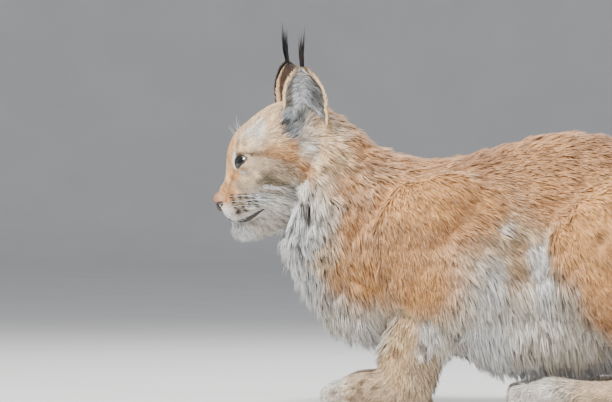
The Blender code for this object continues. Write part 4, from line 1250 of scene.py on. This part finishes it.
def round_tube(path, radii, sides=8):
    """Circles of the given radii that stand square to the path."""
    along = unit(np.gradient(path, axis=0))
    across = unit(np.cross(along, (0.03, 0.02, 1.0)))
    up = np.cross(across, along)
    t = np.linspace(0, 2 * np.pi, sides, endpoint=False)[None, :, None]
    rings = path[:, None] + (across[:, None] * np.cos(t) + up[:, None] * np.sin(t)) * np.reshape(radii, (-1, 1, 1))
    return tube(rings)


def whiskers(side, rng):
    """Stiff hairs from the whisker spots and over the eye: each a thin cone that bends back and sags."""
    starts = [(np.array(spot, float), rng.uniform(48, 78), (0.55, 0.8, 0.1)) for spot in WHISKER_SPOTS[:WHISKERS]]
    starts += [
        (np.array((38.0 + 3 * i, 22 + 3 * i, 93 + i)), rng.uniform(30, 52), (-0.55, 0.35, 0.75))
        for i in range(BROW_HAIRS)
    ]
    bodies = []
    for root, length, way in starts:
        way = unit(np.array(way) + rng.normal(0, 0.14, 3))
        t = np.linspace(0, 1, 9)[:, None]
        bend = np.array((0.35, 0, -0.16)) * length * t**2
        path = root - way * 3 + way * length * t + bend
        radii = 0.32 * (1 - t[:, 0] * 0.85)
        bodies.append(round_tube(on_the_neck(mirrored(path, side)), radii, 4))
    return joined(bodies)


# The ears

def ear_frame():
    """The ear's own ways: up it, where its cup faces, square to that, and across it."""
    up = unit(EAR_TIP - EAR_ROOT)
    faces_to = np.array(EAR_FACES)
    faces_to = unit(faces_to - up * (faces_to @ up))
    return up, faces_to, unit(np.cross(up, faces_to))


def ear_sheets(side):
    """The ear as two sheets over (height, across): width and cup depth are read up the rows, the sideways
    place goes as the sine of across, and the cup's depth as one less its square to the power 0.6."""
    _, faces_to, wide = ear_frame()
    rows = smooth_rows(EAR_ROWS, 5)
    t = np.linspace(-1, 1, 41)[None]
    bow = (1 - t * t) ** 0.6
    sheets = []
    for grow in (0, EAR_WALL):
        thin = grow * (0.35 + 0.65 * bow)
        reach = (rows[:, 1:2] - thin * np.abs(t)) * np.where(t < 0, EAR_REAR, 1)
        sideways = np.sin(t * np.pi / 2 * 0.98) * reach
        back = -rows[:, 2:3] * bow + thin * (np.abs(t) < 1)
        base = EAR_ROOT + (EAR_TIP - EAR_ROOT) * rows[:, :1]
        sheets.append((base[:, None] + wide * sideways[..., None] + faces_to * back[..., None]) * (1, -side, 1))
    return rows[:, 0], t[0], sheets


def ear_body(side):
    """The two sheets closed into one body along their edges, as rings that go round both."""
    _, _, (outer, inner) = ear_sheets(side)
    return tube(np.concatenate([outer, inner[:, ::-1]], axis=1))


def ear_colour(height, across, inner):
    """Inside: smoke-grey hair, darkened at the rear and low in the cup as painted shade, with a pale rim. Outside:
    dark, with a pale patch low down.
    """
    edge = np.clip((np.abs(across) - 0.78) / 0.15, 0, 1)[:, None]
    # Painted shade in the cup: darker at its rear and low in its middle.
    rear = np.clip(-across * 2.6, 0, 1)[:, None] * np.clip(1.3 - np.abs(height - 0.42) * 2.6, 0, 1)[:, None]
    rear = np.maximum(rear, np.clip(1.2 - np.hypot((height - 0.16) / 0.12, (across + 0.1) / 0.5), 0, 1)[:, None])
    inside = linear((0.95, 0.96, 0.97)) * (1 - rear * 0.85) + linear(BLACK) * rear * 0.85
    inside = inside * (1 - edge) + linear(CREAM) * edge
    patch = np.clip(1.3 - np.hypot((height - 0.38) / 0.3, across / 0.5), 0, 1)[:, None]
    outside = linear(BROWN) * 0.5 * (1 - patch) + linear(GREY) * patch
    outside = outside * (1 - edge) + linear(PEACH) * edge
    tip = np.clip((height - 0.84) / 0.14, 0, 1)[:, None] * np.where(inner, 0.45, 1.0)[:, None]
    both = np.where(inner[:, None], inside, outside)
    return both * (1 - tip * 0.8) + linear(BLACK) * tip * 0.8


def ear_hair(side, rng):
    """Tufts of one ear: short on the back, long and arching over the cup, short along the edges, and a pencil
    of dark hair at the tip. Their roots, ways, normals, lengths, widths, lifts and colours."""
    up, faces_to, _ = (mirrored(way, side) for way in ear_frame())
    heights, t, (outer, inner) = ear_sheets(side)
    groups = []
    for sheet, count, is_inner in ((outer, EAR_BACK_TUFTS, False), (inner, EAR_CUP_TUFTS, True)):
        row = rng.uniform(3, len(heights) - 1.01, count)
        column = rng.uniform(0, len(t) - 1.01, count)
        i, j = row.astype(int), column.astype(int)
        a, b = (row - i)[:, None], (column - j)[:, None]
        spot = sheet[i, j] * (1 - a) * (1 - b) + sheet[i + 1, j] * a * (1 - b)
        spot += sheet[i, j + 1] * (1 - a) * b + sheet[i + 1, j + 1] * a * b
        across_way = unit(sheet[i, j + 1] - sheet[i, j])
        up_way = unit(sheet[i + 1, j] - sheet[i, j])
        normal = unit(np.cross(across_way, up_way))
        facing = np.sum(normal * faces_to, axis=1, keepdims=True)
        normal = np.where((facing > 0) == is_inner, normal, -normal)
        height, across = np.interp(row, range(len(heights)), heights), np.interp(column, range(len(t)), t)
        if is_inner:
            front = across > 0
            way = up_way * 0.75 + across_way * np.where(front, -0.8, 0.45)[:, None]
            length = np.where(np.abs(across) > 0.6, 26, 15) * (1.15 - 0.6 * np.clip(height, 0, 1))
            lift, width = np.full(count, 30.0), np.full(count, 1.1)
        else:
            way, length = up_way, np.where(np.abs(across) > 0.85, 8.0, 6.5)
            lift, width = np.full(count, 14.0), np.full(count, 1.1)
        colour = ear_colour(height, across, np.full(count, is_inner))
        shares = (0.22, 0.33, 0.45) if is_inner else (0.2, 0.5, 0.3)
        colour = colour * rng.choice((0.35, 0.75, 1.1), count, p=shares)[:, None]
        groups.append((spot, way, normal, length, width, lift, colour))
    for edge, count in ((0, EAR_EDGE_TUFTS), (len(t) - 1, EAR_EDGE_TUFTS)):
        row = rng.uniform(3, len(heights) - 1.01, count)
        spot = np.stack([np.interp(row, range(len(heights)), outer[:, edge, k]) for k in range(3)], -1)
        out = unit(outer[row.astype(int), edge] - outer[row.astype(int), edge - 2 if edge else 2])
        height = np.interp(row, range(len(heights)), heights)
        colour = ear_colour(height, np.full(count, 0.97), np.zeros(count, bool))
        groups.append((spot, np.tile(up, (count, 1)) + out * 0.25, unit(out + 0.4 * faces_to), np.full(count, 8.0),
                       np.full(count, 1.1), np.full(count, 16.0), colour))
    count = PENCIL_TUFTS
    spot = EAR_TIP * (1, -side, 1) + rng.normal(0, 1.3, (count, 3)) - up * rng.uniform(1, 6, count)[:, None]
    way = up + rng.normal(0, 0.035, (count, 3)) + np.array((0.02, 0, 0))
    colour = linear(BLACK) * rng.uniform(0.6, 3.5, count)[:, None] * (1, 0.85, 0.7)
    groups.append((spot, way, np.tile(faces_to, (count, 1)), rng.uniform(30, 68, count), np.full(count, 1.0),
                   np.full(count, 2.0), colour))
    return [np.concatenate([group[i] for group in groups]) for i in range(7)]


# The animal

def raised(body):
    """A body of the head, given level, turned and raised onto the neck."""
    points, faces = body
    return on_the_neck(points), faces


def animal_skin():
    """The whole skin: lofts of trunk, limbs and tail fused with round hollows, then the head and the ends."""
    body = [trunk(TRUNK), trunk(BELLY), limb(TAIL)]
    ends = []
    for side, setback in ((1, 0), (-1, FAR_LEG_SETBACK)):
        body += [limb(s, side, setback) for s in (SHOULDER, UPPER_ARM, TRICEPS, THIGH)]
        ends += [limb(s, side, setback) for s in (FOREARM, FOREPAW, SHANK, HINDFOOT)]
        for root in (FOREPAW_TOE_ROOT, HINDFOOT_TOE_ROOT):
            for forward, sideways in TOES:
                place = (root[0] - forward + setback, root[1] + sideways, root[2])
                ends.append(ball(place, TOE_RADII, side, 10))
        ends += [raised(ball(centre, radii, side, 12)) for centre, radii in HEAD_PAIRS]
        ends.append(raised(ball(EYE_CENTRE, [EYE_RADIUS + 2.2] * 3, side, 12)))
        ends.append(raised(limb(RUFF, side)))
    ends.append(raised(head_body()))
    fleshed = fused(body, BODY_FILLET, FLESH_GRAIN, 10)
    return fused([fleshed] + ends, SKIN_FILLET, GRAIN, 3, SKIN_TRIANGLES)


def settled(points, faces, table):
    """The skin sunk by the coat's depth, less where muscle stands out, rippled under long hair and creased
    between the toes. It is held clear of each eyeball, sunk behind it at the opening, and no lower than the
    soles."""
    depth = read_table(points, table, SKIN_DEPTH, FIELD_SHARPNESS)
    low = points[:, 2:3] < 12
    for (x, z), (long, tall), height in RELIEF:
        edge = np.clip((1.12 - np.hypot((points[:, 0] - x) / long, (points[:, 2] - z) / tall)) / 0.19, 0, 1)
        edge *= np.clip((np.abs(points[:, 1]) - 50) / 30, 0, 1)
        depth = depth - (height * edge * edge * (3 - 2 * edge))[:, None]
    shaggy = np.clip((read_table(points, table, HAIR_LENGTH, FIELD_SHARPNESS) - 10) / 14, 0, 1)
    depth = depth + shaggy * rippled(points, SKIN_WAVES)[:, None]
    feet = np.flatnonzero((points[:, 2] < 60) & ((points[:, 0] < 215) | (np.abs(points[:, 0] - 445) < 45)))
    for line in TOE_CREASES:
        depth[feet, 0] += TOE_DEPTH * nearness(folded(points[feet]), line, TOE_WIDTH)
    points = points - normals_of(points, faces) * depth * np.where(low, 0.3, 1)
    at_head = level(points)
    for side in (1, -1):
        reach = opening_reach(at_head, side)
        middle = mirrored(EYE_SEEN, side)
        away = at_head - middle
        radius = np.linalg.norm(away, axis=1)
        close = radius < NEAR_EYE
        ahead = away @ mirrored(unit(GAZE), side) / np.maximum(radius, 1e-6)
        rim = np.clip((ahead - 0.15) / 0.25, 0, 1) * close
        held = radius + rim * np.maximum(EYE_CLEARANCE - radius, 0)
        held = np.where((reach < SUNK_REACH) & close, np.minimum(radius, EYE_HOLLOW), held)
        at_head = middle + away * (held / np.maximum(radius, 1e-6))[:, None]
    close = at_head[:, 0] < 90
    points[close] = on_the_neck(at_head)[close]
    points[:, 2] = np.maximum(points[:, 2], SOLE)
    return points


def bare_of_hair(at_head, path):
    """Which level places carry no hair: each eye's opening, the nose leather, and along the mouth."""
    back, out, low, high = NOSE_BARE
    bare = (np.abs(at_head[:, 1]) < out) & (at_head[:, 0] < back) & (at_head[:, 2] < high) & (at_head[:, 2] > low)
    for side in (1, -1):
        near_eye = np.linalg.norm(at_head - eye_frame(side)[0], axis=1) <= NEAR_EYE
        bare |= (opening_reach(at_head, side) <= BARE_REACH) & near_eye
    for spot in path[2:-2]:
        kept_off = LIP_BARE[0] if spot[0] < LIP_FRONT else LIP_BARE[1]
        bare |= np.linalg.norm((at_head - spot) * (1, 1, 1.3), axis=1) <= kept_off
    return bare


def coat_pieces(points, faces, table, path, rng):
    """The coat over the skin, in pieces: long and short hair of each strip, in parts of a bounded size."""
    normals = normals_of(points, faces)
    fields = read_table(points, table, HAIR_FIELDS, FIELD_SHARPNESS)
    roots, outs, values = sample(points, faces, normals, fields, rng)
    keep = ~bare_of_hair(level(roots), path) & (roots[:, 2] > 1.5)
    roots, outs, values = roots[keep], outs[keep], values[keep]
    colour = coat_colour(roots, table)
    length, width, lift, ways = values[:, 0], values[:, 1] * 0.8, values[:, 2], values[:, 5:8]
    chosen, patches, names = strip_places(roots)
    pieces = []
    for index, name in enumerate(names):
        for word, here, rings in (
            ("long", (chosen == index) & (length >= LONG), LONG_RINGS),
            ("short", (chosen == index) & (length < LONG), SHORT_RINGS),
        ):
            group = np.flatnonzero(here)
            if len(group) < FEWEST_TUFTS:
                continue
            gravity = np.clip((length[group] - SAG_FROM) / SAG_OVER, 0, SAG_MOST)
            blades = flat_tufts(
                roots[group], ways[group], outs[group], length[group], width[group], lift[group], gravity,
                rng, rings,
            )
            pull = np.clip(length[group] / PULL_LENGTH, *PULL_BOUNDS)
            blades = clumped(blades, rng, CLUMP, pull)
            colours = tuft_colours(colour[group], length[group], rng, len(rings) + 1)
            parts = math.ceil(len(group) / TUFTS_A_PIECE)
            for part, picked in enumerate(np.array_split(np.arange(len(group)), parts)):
                label = f"{name}_{word}" + (f"_{part + 1}" if parts > 1 else "")
                tufts = group[picked]
                pieces.append(
                    tuft_piece(label, blades[picked], colours[picked], patches[tufts], HAIR, outs[tufts])
                )
    return pieces


def eye_and_whiskers(side, word, rng):
    """One side's eyeball, its lids, and the whiskers."""
    middle, gaze, _, _ = eye_frame(side)
    centre, looks = on_the_neck(middle), turn_matrix() @ gaze
    sphere, sphere_faces = raised(ball(EYE_SEEN, [EYE_RADIUS] * 3, side, 40))
    eye = mesh_of("eyeball_" + word, sphere, sphere_faces, eye_finish("eye_" + word, centre, looks))
    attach(eye, "root")
    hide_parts("eye_" + word)
    lid = mesh_of("lids_" + word, *raised(lids(side)), LID)
    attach(lid, "root")
    hairs = mesh_of("whiskers_" + word, *whiskers(side, rng), WHISKER)
    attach(hairs, "root")


def ear_and_hair(side, word, rng):
    """One ear: its painted body, and its tufts."""
    heights, t, _ = ear_sheets(side)
    height = np.repeat(heights, 2 * len(t))
    across = np.tile(np.concatenate([t, t[::-1]]), len(heights))
    inner = np.tile(np.repeat((False, True), len(t)), len(heights))
    paint = ear_colour(height, across, inner)
    paint = np.vstack([paint[:1], paint, paint[-1:]])
    # The ear's body takes its hair's colours, darkened as painted shade beneath the tufts.
    ear = painted(mesh_of("ear_skin_" + word, *raised(ear_body(side)), SKIN), paint * 0.8)
    spots, ways, outs, size, wide, stand, tint = ear_hair(side, rng)
    outs = outs @ turn_matrix().T
    blades = flat_tufts(
        on_the_neck(spots), ways @ turn_matrix().T, outs, size, wide, stand, np.zeros(len(size)), rng, EAR_RINGS
    )
    along = STRIP_MARGIN + STRIP_SPAN * np.clip((spots[:, 0] - 80) / 80, 0, 1)
    first = EAR_ROW + (0 if side == 1 else 1)
    row = (first + ROW_SPAN * np.clip((spots[:, 2] - 100) / 160, 0, 1)) / STRIP_ROWS
    patches = np.stack([along, row], -1)
    hair = tuft_piece("coat_ear_" + word, blades, tuft_colours(tint, size, rng, 3), patches, HAIR, outs)
    for piece in (ear, hair):
        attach(piece, "root")
        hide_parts("ear_" + word)


def nose_and_lips(path):
    """The nose leather, and lips as a tube along the smoothed mouth that thins to its corners."""
    nose = nose_piece()
    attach(nose, "root")
    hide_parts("nose")
    for _ in range(4):
        path[1:-1] = (path[:-2] + path[2:] + 2 * path[1:-1]) / 4
    turn = np.abs(np.linspace(-1, 1, len(path)))
    taper = 0.5 + 3.1 * np.interp(turn, (0, 0.30, 0.55, 0.80, 1), (0.2, 0.4, 1, 0.8, 0.0))
    lips = mesh_of("lips", *round_tube(on_the_neck(path), taper, 10), LID)
    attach(lips, "root")


def main():
    """The skin first, then all that grows on it, from one row of random draws."""
    rng = np.random.default_rng(SEED)
    table = coat_table()
    points, faces = animal_skin()
    points = settled(points, faces, table)
    # The skin takes the coat's colour, darkened as painted shade beneath the hair.
    skin = painted(mesh_of("skin", points, faces, SKIN), coat_colour(points, table) * 0.85)
    path = mouth_path(BVHTree.FromPolygons(points.tolist(), faces.tolist()))
    pieces = [skin] + coat_pieces(points, faces, table, path, rng)
    for side, word in ((1, "left"), (-1, "right")):
        eye_and_whiskers(side, word, rng)
        ear_and_hair(side, word, rng)
    nose_and_lips(path)
    flesh = [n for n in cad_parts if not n.startswith(("eye", "ear", "nose"))]
    for piece in pieces:
        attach(piece, "root")
    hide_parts(*flesh)


# The stage, in metres: how far the floor reaches, where it starts to turn up, the turn's radius, the wall's top.
FLOOR_REACH = 17.0
WALL_START = 15.5
WALL_BEND = 2.5
WALL_TOP = 14.0
# The camera: what it looks at in the animal's frame, how far off it stands in metres, and its lens.
CAMERA_AIM = (133.4, 0, 300)
CAMERA_DISTANCE = 7.0
CAMERA_LENS = 284
# The light from all round, and soft square lights, in metres: place, size, power in watts.
SKY_COLOUR = (0.90, 0.93, 1.0, 1)
SKY_STRENGTH = 0.5
LIGHTS = (
    ("key", (-1.5, -2.2, 3.2), 1.2, 300),
    ("fill", (2.6, -2.2, 1.2), 2.2, 30),
    ("back", (0.6, 2.0, 2.6), 1.8, 90),
)
LIGHTS_AIM = (0, 0, 0.25)


def stage_and_light():
    """A pale sweep from the floor up behind the animal, three soft lights and the photograph's camera."""
    bend = np.linspace(0, np.pi / 2, 16)
    curve = [(WALL_START + WALL_BEND * math.sin(a), WALL_BEND - WALL_BEND * math.cos(a)) for a in bend]
    run = np.concatenate([[(-FLOOR_REACH, 0)], curve, [(WALL_START + WALL_BEND, WALL_TOP)]])
    rows = np.array([[(x, y, z) for x in (-FLOOR_REACH, FLOOR_REACH)] for y, z in run])
    points = rows.reshape(-1, 3)
    index = np.arange(len(run) - 1)[:, None] * 2 + np.array((0, 1, 3, 2))
    sweep = mesh_of("sweep", (points - SHIFT) / MM, index, stage_finish())
    world = bpy.data.worlds.new("studio")
    world.use_nodes = True
    world.node_tree.nodes["Background"].inputs["Color"].default_value = SKY_COLOUR
    world.node_tree.nodes["Background"].inputs["Strength"].default_value = SKY_STRENGTH
    bpy.context.scene.world = world
    for name, place, size, power in LIGHTS:
        lamp = bpy.data.lights.new(name, "AREA")
        lamp.energy = power
        lamp.size = size
        holder = bpy.data.objects.new(name, lamp)
        holder.location = place
        holder.rotation_euler = (Vector(LIGHTS_AIM) - Vector(place)).to_track_quat("-Z", "Y").to_euler()
        bpy.context.scene.collection.objects.link(holder)
    camera = bpy.data.cameras.new("camera")
    camera.lens = CAMERA_LENS
    camera.sensor_width = 36
    camera.clip_end = 60
    holder = bpy.data.objects.new("camera", camera)
    aim = np.array(CAMERA_AIM) * MM + SHIFT
    holder.location = aim + np.array((0, -CAMERA_DISTANCE, 0.0))
    holder.rotation_euler = (math.pi / 2, 0, 0)
    bpy.context.scene.collection.objects.link(holder)
    bpy.context.scene.camera = holder


main()
stage_and_light()
